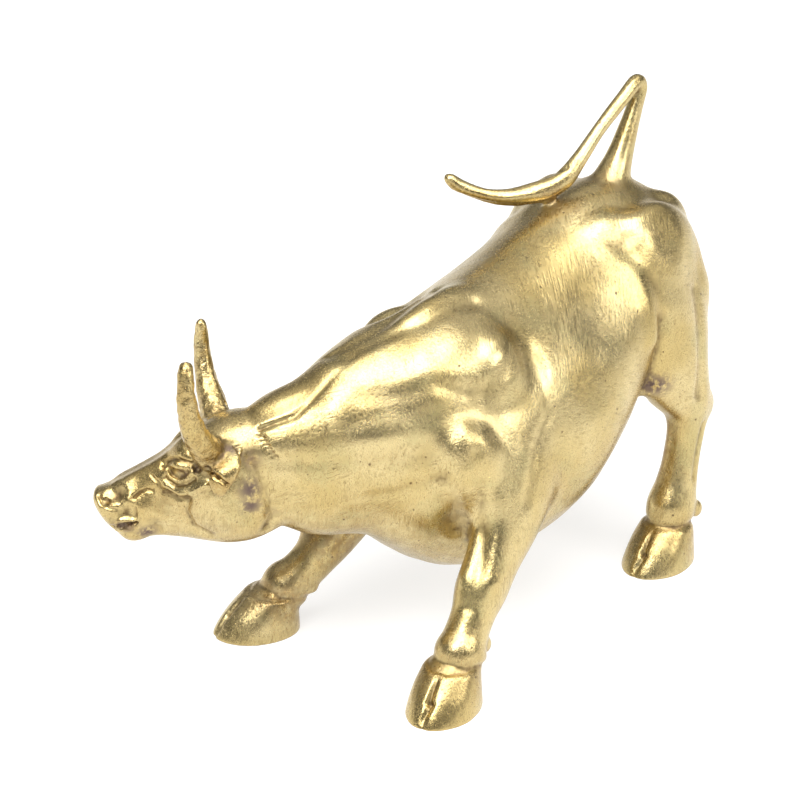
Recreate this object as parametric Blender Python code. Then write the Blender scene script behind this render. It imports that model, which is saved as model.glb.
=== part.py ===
"""Brass figurine of a bull about to butt, cast in one piece and standing on its four hooves.

The bull faces -Y and stands on the plane z = 0, with the frame's origin under the middle of its box.
Its forms are drawn on a bull 208 mm long, and FIGURE_LENGTH sets how long the real one is.
"""

import math

import bmesh
import bpy
import numpy as np
from mathutils import Matrix, Vector

# Driving sizes, in metres
FIGURE_LENGTH = 0.208
TAIL_THICKNESS = 0.0050
HORN_THICKNESS = 0.0100
EAR_THICKNESS = 0.0042
HOOF_SLIT_WIDTH = 0.0020
HOOF_SLIT_DEPTH = 0.0022

# One drawn millimetre, and how finely the figure is worked
DRAWN_LENGTH = 208.0
MM = FIGURE_LENGTH / DRAWN_LENGTH
SKIN_VOXEL = 1.0 * MM
SOLID_TRIANGLES = 9600
RING_SIDES = 28
STEPS_BETWEEN_STATIONS = 5

BRASS = (0.83, 0.62, 0.27, 1.0)
BRASS_ROUGHNESS = 0.3

# The trunk from rump to chest: y, underside, back, half width, height where it is widest
TRUNK = (
    (89, 88, 106, 7, 98),
    (85, 74, 118, 19, 98),
    (76, 66, 126, 26, 98),
    (62, 59, 129.5, 31, 96),
    (46, 50, 128, 35, 90),
    (30, 39, 122.5, 39, 79),
    (12, 28, 117.5, 41.5, 70),
    (-6, 22.5, 115, 40, 68),
    (-22, 21.5, 114.5, 36, 69),
    (-36, 27, 113, 31, 70),
    (-50, 38, 106.5, 25, 71),
    (-59, 47, 98, 17, 72),
    (-64, 57, 88, 9, 72),
)

# The neck, from inside the chest to inside the head: x, y, z, half width, half height
NECK = (
    (0, -26, 70, 28, 43),
    (-2, -40, 73, 27, 38.5),
    (-7, -54, 73.5, 23.5, 33),
    (-13, -66, 71.5, 19.5, 27.5),
    (-20, -76, 70.3, 16, 23.2),
    (-28, -84, 68, 12, 18),
)

# The head along its own line: distance from the poll, top, underside, half width
HEAD = (
    (-9, -14, -33, 7),
    (-4, -6.5, -38.5, 11),
    (3, -3, -42, 13.8),
    (11, -2.2, -43.8, 15),
    (19, -4, -43.3, 14.5),
    (26, -7.2, -41, 12.8),
    (33, -10.8, -38.3, 10.6),
    (40, -13, -36.2, 9.2),
    (46, -14.7, -35.4, 8.8),
    (50.5, -16, -34, 8.5),
    (54.3, -16.6, -29.5, 7.3),
    (56.0, -16.8, -25.5, 6.2),
    (56.8, -18.0, -22, 4.4),
)
POLL = (-26, -81, 92.5)
HEAD_TURN = math.radians(50)
HEAD_DROOP = math.radians(14)
HEAD_TILT = math.radians(-8)

# The left horn and ear, from the head outwards: along the head, to its side, above the poll,
# share of the thickness, and for the ear its half width
HORN = (
    (13, 5, -11, 1.12),
    (15.2, 11, -11.5, 1.12),
    (15.8, 15, -9, 1.04),
    (16.4, 19.5, -4.6, 0.92),
    (17, 22.8, 1, 0.8),
    (16.7, 24.6, 6.8, 0.68),
    (16, 25.4, 12.5, 0.6),
    (14.8, 25, 17.8, 0.52),
    (13.9, 24.3, 21, 0.46),
    (13.5, 24, 22.3, 0.34),
    (13.3, 23.8, 22.9, 0.14),
)
EAR = (
    (9, 10, -8, 0.71, 3.0),
    (10.5, 15.5, -11, 0.9, 4.8),
    (11.5, 19.5, -14, 0.95, 5.2),
    (12.8, 21.2, -17, 0.86, 4.4),
    (14, 21.4, -19.6, 0.62, 2.6),
    (14.6, 21, -21.3, 0.33, 1.1),
)

# A leg down to the hoof: x, y, z, half width, half depth
FORELEG = (
    (24, -14, 76, 12, 23),
    (29, -20, 62, 12, 19),
    (32.5, -29, 50, 10.5, 13.5),
    (34.5, -38, 40, 8.4, 10),
    (35.5, -45.5, 31.5, 8.0, 9.0),
    (36, -50, 25, 6.8, 7.4),
    (36.5, -54, 19.5, 7.0, 7.4),
    (37, -57, 15.5, 8.2, 8.8),
    (37.2, -59, 11, 7.4, 7.6),
    (37.3, -60.5, 6, 6.5, 7),
)
FAR_FORELEG = (
    (-20, -14, 74, 12, 23),
    (-22.5, -22, 59, 12, 18),
    (-23, -31, 46, 10.5, 13),
    (-25, -39.5, 36, 8.8, 9.8),
    (-28, -46.5, 28, 8.2, 8.8),
    (-30, -51, 22.5, 7.2, 7.6),
    (-32.5, -55, 18, 7.2, 7.6),
    (-35, -58, 14.5, 8.2, 8.6),
    (-36.5, -60.5, 10, 7.4, 7.6),
    (-37.3, -62, 6, 6.5, 7),
)
HIND_LEG = (
    (19, 58, 100, 13, 28),
    (24, 59, 87, 12.5, 27),
    (28, 62, 75, 11, 21),
    (30.5, 66, 64, 9, 14.5),
    (31.8, 70, 54, 7.6, 10),
    (32.3, 70, 45, 6.3, 7.6),
    (32.5, 67.5, 35, 6.0, 6.8),
    (32.7, 65, 26, 6.8, 7.4),
    (32.8, 62.5, 18.5, 8.2, 9),
    (33, 60, 12.5, 7.6, 8),
    (33, 58.5, 7, 6.6, 7),
)

# A hoof from its crown down through the ground: height, step forward, half width, half length
HOOF = (
    (15, 0, 5.5, 5),
    (13.5, -1, 8.2, 8.2),
    (11, -2.2, 9.3, 10),
    (7, -4.2, 10.3, 12),
    (2.5, -5.8, 11, 13.8),
    (-1, -6.6, 11.1, 14.4),
    (-2.5, -6.6, 9.0, 12.0),
)
HOOVES = (
    {"crown": (36.9, -60.8), "turn": math.radians(12)},
    {"crown": (-37.3, -62.0), "turn": math.radians(-28)},
    {"crown": (33.0, 60.5), "turn": math.radians(4)},
    {"crown": (-33.0, 60.5), "turn": math.radians(-4)},
)

# Muscles and bones under the skin: place, half sizes, nod about X in degrees
MASSES = (
    ((20, -22, 87), (11, 15, 20), -18),
    ((25, -38, 70), (10, 12, 17), 20),
    ((31, -30, 56), (9, 12, 14), 35),
    ((0, -20, 106), (10, 26, 10), 0),
    ((20, 62, 100), (13, 23, 26), 8),
    ((25, 50, 84), (10, 13, 20), -14),
    ((12, 79, 111), (10, 9, 12), 0),
    ((33, 73.5, 51.5), (5.2, 10, 8), 0),
)

# Soft swellings (+) and hollows (-) of the left side: place, reach across, along and up, height, nod, turn
SWELLS = (
    ((16, -36, 103), (14, 29, 12), 2.3, 14, 0),
    ((12, -64, 85), (14, 24, 8), 1.4, 5, 0),
    ((24, -48, 84), (10, 10, 14), 0.7, 0, 0),
    ((31.3, -33, 85), (9, 9, 15), 1.1, -15, 0),
    ((34.3, -19.3, 83), (6, 6.5, 10), 0.7, -8, 0),
    ((28, -13, 97), (9, 8, 16), -1.2, 0, 0),
    ((25, -46, 50), (6, 7, 12), -1.3, 0, 0),
    ((16, 46, 122.5), (8, 13, 9), 1.9, 0, -25),
    ((27, 59, 117), (9, 9, 13), -1.1, 0, 0),
    ((30, 24, 104), (14, 17, 22), -0.9, -25, 0),
    ((33, 58, 95), (9, 14, 21), 1.7, 8, 0),
    ((27, 81, 93), (9, 9, 21), 1.6, 6, 0),
    ((25, 52, 66), (9, 9, 9), -2.0, 0, 0),
    ((35.5, -46.5, 44), (5.5, 5.5, 5), 1.2, 0, 0),
    ((39.5, 6, 66), (12, 26, 18), 0.9, 0, 0),
)

# Lines cut (+) or raised (-) on the left side: width, depth at the first place, depth at the last, places
LINES = (
    (
        3.0, 0.9, 1.0,
        ((-7.5, -60.8, 105), (-2.1, -47.2, 108.4), (4, -36, 111), (5, -24.6, 114), (8, -16, 113.5)),
    ),
    (
        2.8, 0.2, 0.5,
        ((14.3, -13.1, 109), (20.3, -12.5, 105.3), (25, -17, 102.7), (27.2, -23.2, 98.7), (25, -32.5, 94)),
    ),
    (3.2, 0.4, 0.8, ((4.5, -65.9, 96.4), (12, -56.3, 95.8), (16.7, -46.5, 98), (21.7, -38.6, 94.5))),
    (2.7, 0.4, 0.3, ((22.5, -37, 93), (27.1, -40.2, 85), (30.5, -44.3, 80), (32.8, -43, 76))),
    (
        2.3, 0.2, 0.7,
        ((24.7, -6.9, 100.2), (33.1, -10.6, 87), (35.5, -12, 80.6), (38.3, -22, 72.7), (41.5, -29.4, 59)),
    ),
    (3.0, 0.5, 0.4, ((-10.1, -88.4, 78.4), (4.5, -74.9, 77.9), (13.7, -63, 76.3), (20.8, -52.8, 76.8))),
    (2.2, 0.2, 0.6, ((3.7, -74.2, 63.9), (15.6, -60.6, 66), (24.3, -50.8, 69.2))),
    (
        3.2, 0.4, 1.1,
        ((21.5, -53.5, 84), (22.8, -54, 73), (23, -52.5, 63), (23.5, -49, 54), (26, -45, 47)),
    ),
    (2.4, 0.2, 1.0, ((33.1, -43, 74.3), (32.8, -42, 61.4), (34.6, -42.5, 50.6))),
    (3.0, 0.0, -0.6, ((29, -47, 70), (29.5, -46, 58), (31, -46.5, 48))),
    (3.0, 0.0, -0.6, ((37, -36, 72), (38, -38, 61), (39.5, -41, 49))),
    (1.4, 1.0, 0.7, ((35.5, -51, 41), (35.5, -53, 33), (36, -57, 26))),
    (
        4.4, -0.3, -1.7,
        ((14, 37, 120.5), (21, 38.7, 115.7), (29.2, 42.7, 108.1), (33.6, 43.6, 100.8), (36.8, 42.8, 88)),
    ),
    (2.8, 1.0, 2.0, ((37, 49, 92), (36.5, 47, 84), (35, 46, 76), (31, 47, 69))),
    (2.6, 0.9, 1.3, ((32.9, 69.2, 95), (37.1, 68.4, 79), (38.4, 67.2, 60))),
    (1.4, 1.0, 0.8, ((38.3, 71.5, 47), (38.4, 68.5, 37), (38.6, 66, 29))),
)

# The off side shows its muscles less, and its shoulder is lower
FAR_SHARE = 0.6
FAR_SHOULDER = ((-19, -24, 107), (11, 15, 10), -2.6)

# The nape's flat ridge with its left edge, and the cleft under the tail
NAPE = ((-24, -80, 92), (-18, -73, 95.5), (-12, -64.5, 100.5), (-7, -54, 107), (-3, -43, 111.5))
NAPE_EDGE = ((-17.5, -89, 88), (-10.2, -81.1, 91.6), (-6.5, -70.5, 98.6), (-4.6, -58, 105.6))
CLEFT = ((0, 82, 116), (0, 90, 104), (0, 90, 94), (0, 85, 82), (0, 78, 70))

# The left side of the face, along the head, to its side and above the poll: place, reach, height
FACE_SWELLS = (
    ((24.5, 9.5, -8), 7.5, 1.9),
    ((27.2, 11.5, -14.2), 5.6, -1.5),
    ((27.4, 10.9, -13.8), 3.2, 1.3),
    ((17.1, 16.5, -27), 12.5, 2.2),
    ((34, 10, -22.5), 8.5, -1.6),
    ((49.2, 8, -16.8), 4.8, -1.9),
    ((41, 8.5, -18), 6.5, -0.8),
    ((52, 8, -21.5), 3.8, 1.0),
    ((47.1, 9.5, -23.8), 4.2, -0.8),
    ((47.6, 4.5, -34), 6, 1.2),
    ((39.5, 7.5, -31), 5, -1.0),
    ((20.9, 13.6, -13.8), 1.8, -1.1),
    ((31.7, 8, -11.9), 1.6, -1.0),
    ((27.1, 11.6, -13.8), 1.3, -0.7),
    ((52.4, 7.8, -18.6), 1.7, -1.2),
)
FACE_LINES = (
    (
        0.8, 0.2, 0.6,
        ((32.2, 7.2, -10.8), (29.5, 8.4, -9.9), (26.3, 10.4, -10.1), (23.4, 12.2, -11.2), (20.6, 13.4, -13.2)),
    ),
    (
        0.65, -0.55, -0.4,
        ((31.4, 8.2, -12.3), (29.5, 9.3, -11.7), (27, 10.8, -11.9), (24.5, 12.2, -12.6), (22, 13.4, -13.8)),
    ),
    (
        0.6, -0.6, -0.5,
        ((31.4, 8.8, -12.9), (30.2, 10.2, -15.1), (28.3, 11.2, -16.4), (25.7, 12.3, -16), (22.8, 13.4, -14.5)),
    ),
    (0.7, 0.5, 0.6, ((31.8, 9.4, -15.4), (29.4, 11.1, -18), (26, 12.5, -18), (22.5, 14, -16.4))),
    (
        1.3, -0.5, -0.9,
        ((32.6, 9.8, -17.8), (30.9, 11.3, -19.3), (28.9, 12.3, -20.4), (26, 13.5, -20.9), (19.3, 16.3, -18.2)),
    ),
    (2.0, 0.9, 0.8, ((26.6, 13.2, -22.4), (27.9, 10.7, -26.8), (27.4, 9, -32.6), (23.7, 8.9, -36.9))),
    (2.2, 0.9, 1.6, ((3, 15, -16), (1.5, 15.5, -24), (1, 14.5, -31), (2, 12, -38), (5, 9, -41))),
    (0.7, -0.7, -0.6, ((55.4, 4.5, -17.6), (54.6, 6.6, -20), (53.8, 6.8, -23.4))),
    (0.7, 1.4, 1.0, ((53, 4.5, -28.3), (50.5, 7.4, -28.2), (47.8, 8.6, -28.1), (45.1, 7.8, -28.2))),
    (0.8, -0.8, -0.6, ((52.8, 5.6, -26.8), (49.3, 8.8, -26.4), (46.8, 9, -26.6), (45, 8.2, -27.2))),
    (0.8, -0.8, -0.6, ((52.6, 4.4, -30), (49.8, 7, -29.9), (46.5, 7.5, -29.9))),
    (0.5, 0.6, 0.5, ((43.3, 8.4, -19.7), (41.5, 7.9, -18.8), (39.1, 7.9, -18.4))),
    (0.5, 0.5, 0.4, ((46.5, 8.8, -30.6), (44.2, 8.4, -26), (43.6, 8.6, -23))),
    (2.6, -0.8, -0.7, ((20, 5.5, -4.8), (30, 4.8, -9.2), (40, 4.4, -13), (48, 4.2, -15.6))),
)
EAR_FOLD = ((16.4, 18.4, -12.6), (13.8, 21.2, -15.4), (11.6, 22.4, -18.4))

# The tail: up from its root, over in an arch, down to the croup, and its tuft: x, y, z, share of thickness
TAIL = (
    (0, 60, 119, 3.4),
    (0, 66, 126, 2.7),
    (0, 71, 134, 1.85),
    (0, 75.5, 143, 1.35),
    (0, 79.5, 151, 1.1),
    (0, 81.5, 156, 1.0),
    (0, 79, 158.2, 1.0),
    (0, 71.5, 154.2, 0.95),
    (-1, 60.5, 146.5, 0.9),
    (-1.5, 50.5, 138.8, 1.05),
    (-3, 43.5, 133, 1.4),
    (-8, 37.5, 129.5, 1.6),
    (-15, 31.5, 127.5, 1.4),
    (-22, 26.5, 128, 1.2),
    (-28, 22, 131, 1.0),
    (-31, 19.6, 134, 0.75),
    (-32, 18.8, 135.2, 0.3),
)


def smooth_stations(table):
    """The rows of a table with more rows between them, on one smooth curve through all of them."""
    rows = np.array(table, float)
    padded = np.vstack([2 * rows[0] - rows[1], rows, 2 * rows[-1] - rows[-2]])
    made = []
    for i in range(1, len(padded) - 2):
        a, b, c, d = padded[i - 1 : i + 3]
        for step in range(STEPS_BETWEEN_STATIONS):
            t = step / STEPS_BETWEEN_STATIONS
            bend = (2 * a - 5 * b + 4 * c - d) * t**2 + (3 * b - a - 3 * c + d) * t**3
            made.append(b + 0.5 * ((c - a) * t + bend))
    made.append(rows[-1])
    return np.array(made)


def other_side(places):
    """The matching places on the other side of the bull, mirrored in the line of its bent neck."""
    matching = np.array(places, float)
    neck = np.array(NECK, float)
    bend = np.interp(-matching[..., 1], -neck[:, 1], neck[:, 0])
    matching[..., 0] = 2 * bend - matching[..., 0]
    return matching


def skin_over(skin, rings):
    """Adds a closed tube to the bmesh: one loop of points for each ring, and a cap at both ends."""
    loops = [[skin.verts.new(point) for point in ring] for ring in rings]
    sides = len(loops[0])
    for near, far in zip(loops, loops[1:]):
        for i in range(sides):
            after = (i + 1) % sides
            skin.faces.new((near[i], near[after], far[after], far[i]))
    skin.faces.new(list(reversed(loops[0])))
    skin.faces.new(loops[-1])


def oval(square=2.0, roof=None):
    """Across and up shares of the points round an oval. A square above 2 fills out its corners.

    A roof is the square of its upper half, and below 2 it makes that half steeper and its top narrower.
    """
    angles = np.linspace(0, 2 * math.pi, RING_SIDES, endpoint=False)
    across, up = np.cos(angles), np.sin(angles)
    power = 2 / np.where(up > 0, roof or square, square)
    return np.sign(across) * abs(across) ** power, np.sign(up) * abs(up) ** power


def tube_rings(places, half_widths, half_heights, square=2.0):
    """Ovals along a line of places, each at right angles to the way the line runs there."""
    across, up = oval(square)
    ways = np.gradient(places, axis=0)
    rings = []
    for place, way, half_width, half_height in zip(places, ways, half_widths, half_heights):
        way = way / np.linalg.norm(way)
        rise = np.cross((1.0, 0.0, 0.0), way)
        rise /= np.linalg.norm(rise)
        side = np.cross(way, rise)
        rings.append(place + np.outer(across * half_width, side) + np.outer(up * half_height, rise))
    return rings


def add_trunk(skin):
    across, up = oval(2.2, roof=1.72)
    rings = []
    for y, under, back, half_width, widest in smooth_stations(TRUNK) * MM:
        rise = np.where(up > 0, back - widest, widest - under)
        rings.append(np.column_stack([half_width * across, np.full(len(up), y), widest + rise * up]))
    skin_over(skin, rings)


def add_limb(skin, table, square=2.0):
    rows = smooth_stations(table) * MM
    skin_over(skin, tube_rings(rows[:, :3], rows[:, 3], rows[:, 4], square))


def add_hooves(skin):
    across, along = oval(2.3)
    toe_in = 1 - 0.22 * np.clip(along, 0, 1) ** 2
    for hoof in HOOVES:
        crown, ahead, side = hoof_frame(hoof)
        rings = []
        for height, step, half_width, half_length in smooth_stations(HOOF):
            centre = crown - ahead * step + (0, 0, height)
            ring = centre + np.outer(across * half_width * toe_in, side) + np.outer(along * half_length, ahead)
            rings.append(ring * MM)
        skin_over(skin, rings)
        for flip in (1, -1):
            add_lump(skin, crown - ahead * 7.0 + side * flip * 3.6 + (0, 0, 17.5), (2.3, 2.6, 3.0))


def head_frame():
    """The head's own directions: ahead, to its left, and up through its poll."""
    turned = Matrix.Rotation(-HEAD_TURN, 3, "Z") @ Matrix.Rotation(HEAD_DROOP, 3, "X")
    tilted = turned @ Matrix.Rotation(HEAD_TILT, 3, "Y")
    return tuple(np.array(tilted @ Vector(way)) for way in ((0, -1, 0), (1, 0, 0), (0, 0, 1)))


def on_head(along, side, rise):
    """A place on the head, from distances along it, to its left and above its poll."""
    ahead, left, above = head_frame()
    return np.array(POLL) + along * ahead + side * left + rise * above


def add_head(skin):
    across, up = oval(2.25)
    ahead, left, above = head_frame()
    rings = []
    for along, top, under, half_width in smooth_stations(HEAD):
        centre = on_head(along, 0, (top + under) / 2)
        narrow_jaw = 1 + 0.14 * up
        half_height = (top - under) / 2
        ring = centre + np.outer(across * half_width * narrow_jaw, left) + np.outer(up * half_height, above)
        rings.append(ring * MM)
    skin_over(skin, rings)


def add_horns_and_ears(skin):
    for flip in (1, -1):
        horn = smooth_stations(HORN)
        places = np.array([on_head(along, flip * side, rise) for along, side, rise in horn[:, :3]]) * MM
        halves = horn[:, 3] * HORN_THICKNESS / 2
        skin_over(skin, tube_rings(places, halves, halves))

        ear = smooth_stations(EAR)
        places = np.array([on_head(along, flip * side, rise) for along, side, rise in ear[:, :3]]) * MM
        ahead, left, above = head_frame()
        flat_way = flip * left * 0.8 + above * 0.6
        across, up = oval()
        rings = [
            place + np.outer(across * width * MM, ahead) + np.outer(up * share * EAR_THICKNESS / 2, flat_way)
            for place, share, width in zip(places, ear[:, 3], ear[:, 4])
        ]
        skin_over(skin, rings)


def add_tail(skin):
    rows = smooth_stations(TAIL)
    halves = rows[:, 3] * TAIL_THICKNESS / 2
    skin_over(skin, tube_rings(rows[:, :3] * MM, halves, halves))


def add_lump(skin, place, half_sizes, nod=0.0):
    """An egg-shaped lump at a drawn place."""
    at = Matrix.Translation(Vector(place) * MM) @ Matrix.Rotation(math.radians(nod), 4, "X")
    stretch = Matrix.Diagonal((*(Vector(half_sizes) * MM), 1.0))
    bmesh.ops.create_uvsphere(skin, u_segments=24, v_segments=16, radius=1.0, matrix=at @ stretch)


def add_masses(skin):
    for place, half_sizes, nod in MASSES:
        add_lump(skin, place, half_sizes, nod)
        if place[0]:
            add_lump(skin, other_side(place), half_sizes, nod)


def rough_figure():
    """All forms, still passing through each other, as one mesh object."""
    skin = bmesh.new()
    add_trunk(skin)
    add_limb(skin, NECK, 2.1)
    add_head(skin)
    add_horns_and_ears(skin)
    add_limb(skin, FORELEG)
    add_limb(skin, FAR_FORELEG)
    add_limb(skin, HIND_LEG)
    add_limb(skin, other_side(HIND_LEG))
    add_hooves(skin)
    add_masses(skin)
    add_tail(skin)
    bmesh.ops.recalc_face_normals(skin, faces=skin.faces)
    mesh = bpy.data.meshes.new("rough")
    skin.to_mesh(mesh)
    skin.free()
    figure = bpy.data.objects.new("rough", mesh)
    bpy.context.scene.collection.objects.link(figure)
    return figure


def one_skin(figure, voxel):
    """The figure's forms merged into a single closed skin, as points and faces."""
    merge = figure.modifiers.new("merge", "REMESH")
    merge.mode = "VOXEL"
    merge.voxel_size = voxel
    merge.adaptivity = 0.0
    graph = bpy.context.evaluated_depsgraph_get()
    skin = bpy.data.meshes.new_from_object(figure.evaluated_get(graph))
    bpy.data.objects.remove(figure)
    return skin


class Clay:
    """The skin's points, and the ways of pushing them that shape it."""

    def __init__(self, mesh):
        self.mesh = mesh
        self.points = np.empty(len(mesh.vertices) * 3)
        mesh.vertices.foreach_get("co", self.points)
        self.points = self.points.reshape(-1, 3)
        ends = np.empty(len(mesh.edges) * 2, int)
        mesh.edges.foreach_get("vertices", ends)
        self.ends = ends.reshape(-1, 2)
        self.neighbours = np.bincount(self.ends.ravel(), minlength=len(self.points))

    def middles(self):
        """The middle of each point's neighbours."""
        start, end = self.ends.T
        sums = [
            np.bincount(start, self.points[end, axis], len(self.points))
            + np.bincount(end, self.points[start, axis], len(self.points))
            for axis in range(3)
        ]
        return np.column_stack(sums) / self.neighbours[:, None]

    def relax(self, rounds):
        """Evens out the skin's small steps, each pull followed by a push back, so that thin parts keep."""
        for pull in (0.5, -0.52) * rounds:
            self.points += pull * (self.middles() - self.points)

    def melt(self, rounds, where):
        """Softens the skin by a share for each point, and lets it shrink."""
        for _ in range(rounds):
            self.points += 0.6 * where[:, None] * (self.middles() - self.points)

    def near(self, place, reach, nod=0.0, turn=0.0):
        """1 at a drawn place, falling smoothly to 0 at the reach across, along and up."""
        lean = Matrix.Rotation(math.radians(turn), 3, "Z") @ Matrix.Rotation(math.radians(nod), 3, "X")
        offset = (self.points / MM - place) @ np.array(lean)
        far = np.linalg.norm(offset / reach, axis=1)
        return np.clip(1 - far * far, 0, 1) ** 2

    def normals(self):
        self.mesh.vertices.foreach_set("co", self.points.ravel())
        self.mesh.update()
        found = np.empty(len(self.points) * 3)
        self.mesh.vertex_normals.foreach_get("vector", found)
        return found.reshape(-1, 3)

    def swell(self, place, reach, height, nod=0.0, turn=0.0):
        """Raises the skin round a place by a drawn height, or hollows it where the height is negative."""
        self.points += self.normals() * (self.near(place, reach, nod, turn) * height * MM)[:, None]

    def stroke(self, width, first, last, path, edge=2.0):
        """Cuts a groove along a line of drawn places, from one drawn depth to another, or raises a ridge."""
        path = np.array(path, float)
        places = self.points / MM
        nearest = np.full(len(places), np.inf)
        depth = np.zeros(len(places))
        for i, (start, end) in enumerate(zip(path, path[1:])):
            way = end - start
            share = np.clip((places - start) @ way / (way @ way), 0, 1)
            far = np.linalg.norm(places - start - share[:, None] * way, axis=1)
            done = (i + share) / (len(path) - 1)
            depth = np.where(far < nearest, first + (last - first) * done, depth)
            nearest = np.minimum(nearest, far)
        self.points -= self.normals() * (np.exp(-((nearest / width) ** edge)) * depth * MM)[:, None]

    def finish(self):
        self.mesh.vertices.foreach_set("co", self.points.ravel())
        self.mesh.update()
        return self.mesh


def softness(clay):
    """How freely each point may soften: most on the trunk, least on hooves, head, horns and tail."""
    x, y, z = (clay.points / MM).T
    low = np.clip((z - 34) / 22, 0, 1)
    tail = 1 - np.clip((z - 126) / 4, 0, 1)
    head = 1 - np.clip((-y - 64) / 12, 0, 1)
    joins = [
        clay.near((-22, -78, 70), 30) * 0.5,
        clay.near((0, 62, 126), 13) * 0.3,
        clay.near((-3, 40, 130), 9) * 0.3,
        clay.near((-16, 30, 124), 12) * 0.3,
    ]
    for flip in (1, -1):
        joins.append(clay.near((flip * 32, -36, 40), 16) * 0.4)
        joins.append(clay.near((flip * 32, 70, 58), 15) * 0.35)
        joins.append(clay.near(on_head(14, flip * 13, -9), 8) * 0.15)
    return np.maximum.reduce([low * tail * head, *joins])


def shape(clay):
    """Softens the joins between the forms, then works the muscles into the skin."""
    finer = (MM / SKIN_VOXEL) ** 2
    clay.relax(round(5 * finer))
    clay.melt(round(30 * finer), softness(clay))
    for place, reach, height, nod, turn in SWELLS:
        clay.swell(place, reach, height, nod, turn)
        clay.swell(other_side(place), reach, height * FAR_SHARE, nod, -turn)
    clay.swell(*FAR_SHOULDER)
    for width, first, last, path in LINES:
        clay.stroke(width, first, last, path)
        clay.stroke(width, first, last, other_side(path))
    clay.stroke(6.5, -0.9, -0.2, NAPE, edge=6.0)
    for edge_line in (NAPE_EDGE, other_side(NAPE_EDGE)):
        clay.stroke(1.0, 0.9, 0.3, edge_line)
    clay.stroke(3.0, 0.8, 2.2, CLEFT)
    carve_face(clay)
    carve_hooves(clay)
    clay.relax(round(1 * finer))


def carve_face(clay):
    """Works the brows, eyes, cheeks, nostrils and mouth into both sides of the head."""
    for flip in (1, -1):
        for (along, side, rise), reach, height in FACE_SWELLS:
            clay.swell(on_head(along, flip * side, rise), (reach,) * 3, height)
        for width, first, last, path in FACE_LINES:
            places = [on_head(along, flip * side, rise) for along, side, rise in path]
            clay.stroke(width, first, last, places)
        clay.stroke(0.8, 0.9, 1.3, [on_head(along, flip * side, rise) for along, side, rise in EAR_FOLD])


def hoof_frame(hoof):
    """A hoof's crown, and its directions ahead and to its left."""
    turn = hoof["turn"]
    ahead = np.array([math.sin(turn), -math.cos(turn), 0.0])
    side = np.array([math.cos(turn), math.sin(turn), 0.0])
    return np.array([*hoof["crown"], 0.0]), ahead, side


def carve_hooves(clay):
    """Cuts the slit that parts each hoof in front, and the groove round its crown."""
    up = np.array([0.0, 0.0, 1.0])
    for hoof in HOOVES:
        crown, ahead, side = hoof_frame(hoof)
        toe = [crown + ahead * (half_length - step) + up * height for height, step, _, half_length in HOOF[1:6]]
        clay.stroke(HOOF_SLIT_WIDTH / 2 / MM, HOOF_SLIT_DEPTH / MM, HOOF_SLIT_DEPTH / MM, toe)
        angles = np.linspace(0, 2 * math.pi, 25)
        rim = [
            crown + ahead * (1 + 7.6 * math.cos(a)) + side * 7.8 * math.sin(a) + up * (14 + math.cos(a))
            for a in angles
        ]
        clay.stroke(1.1, 0.8, 0.8, rim)


def cut_flat(mesh):
    """Cuts the hooves flat on the plane the bull stands on."""
    skin = bmesh.new()
    skin.from_mesh(mesh)
    everything = skin.verts[:] + skin.edges[:] + skin.faces[:]
    bmesh.ops.bisect_plane(skin, geom=everything, plane_co=(0, 0, 0), plane_no=(0, 0, -1), clear_outer=True)
    rims = [edge for edge in skin.edges if edge.is_boundary]
    bmesh.ops.holes_fill(skin, edges=rims, sides=0)
    skin.to_mesh(mesh)
    skin.free()


def centred(mesh):
    """Moves the figure so that the origin is under the middle of its box."""
    corners = np.array([vertex.co for vertex in mesh.vertices])
    middle = (corners.min(axis=0) + corners.max(axis=0)) / 2
    mesh.transform(Matrix.Translation((-middle[0], -middle[1], 0)))


def brass():
    material = bpy.data.materials.new("brass")
    material.use_nodes = True
    shader = material.node_tree.nodes["Principled BSDF"]
    shader.inputs["Base Color"].default_value = BRASS
    shader.inputs["Metallic"].default_value = 1.0
    shader.inputs["Roughness"].default_value = BRASS_ROUGHNESS
    return material


def make_bull():
    clay = Clay(one_skin(rough_figure(), SKIN_VOXEL))
    shape(clay)
    mesh = clay.finish()
    figure = bpy.data.objects.new("bull", mesh)
    bpy.context.scene.collection.objects.link(figure)
    fewer = figure.modifiers.new("fewer", "DECIMATE")
    fewer.ratio = SOLID_TRIANGLES / (2 * len(mesh.polygons))
    graph = bpy.context.evaluated_depsgraph_get()
    solid = bpy.data.meshes.new_from_object(figure.evaluated_get(graph))
    bpy.data.objects.remove(figure)
    cut_flat(solid)
    centred(solid)
    solid.shade_smooth()
    solid.materials.append(brass())
    bull = bpy.data.objects.new("bull", solid)
    bpy.context.scene.collection.objects.link(bull)
    return bull


for leftover in list(bpy.data.objects):
    bpy.data.objects.remove(leftover)
make_bull()
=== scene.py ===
"""Looks of the brass bull figurine: its fine skin, file marks, pits and patina, and its pale studio."""

import math

import bmesh
import bpy
import numpy as np
from mathutils import Matrix, Vector, noise


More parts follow.
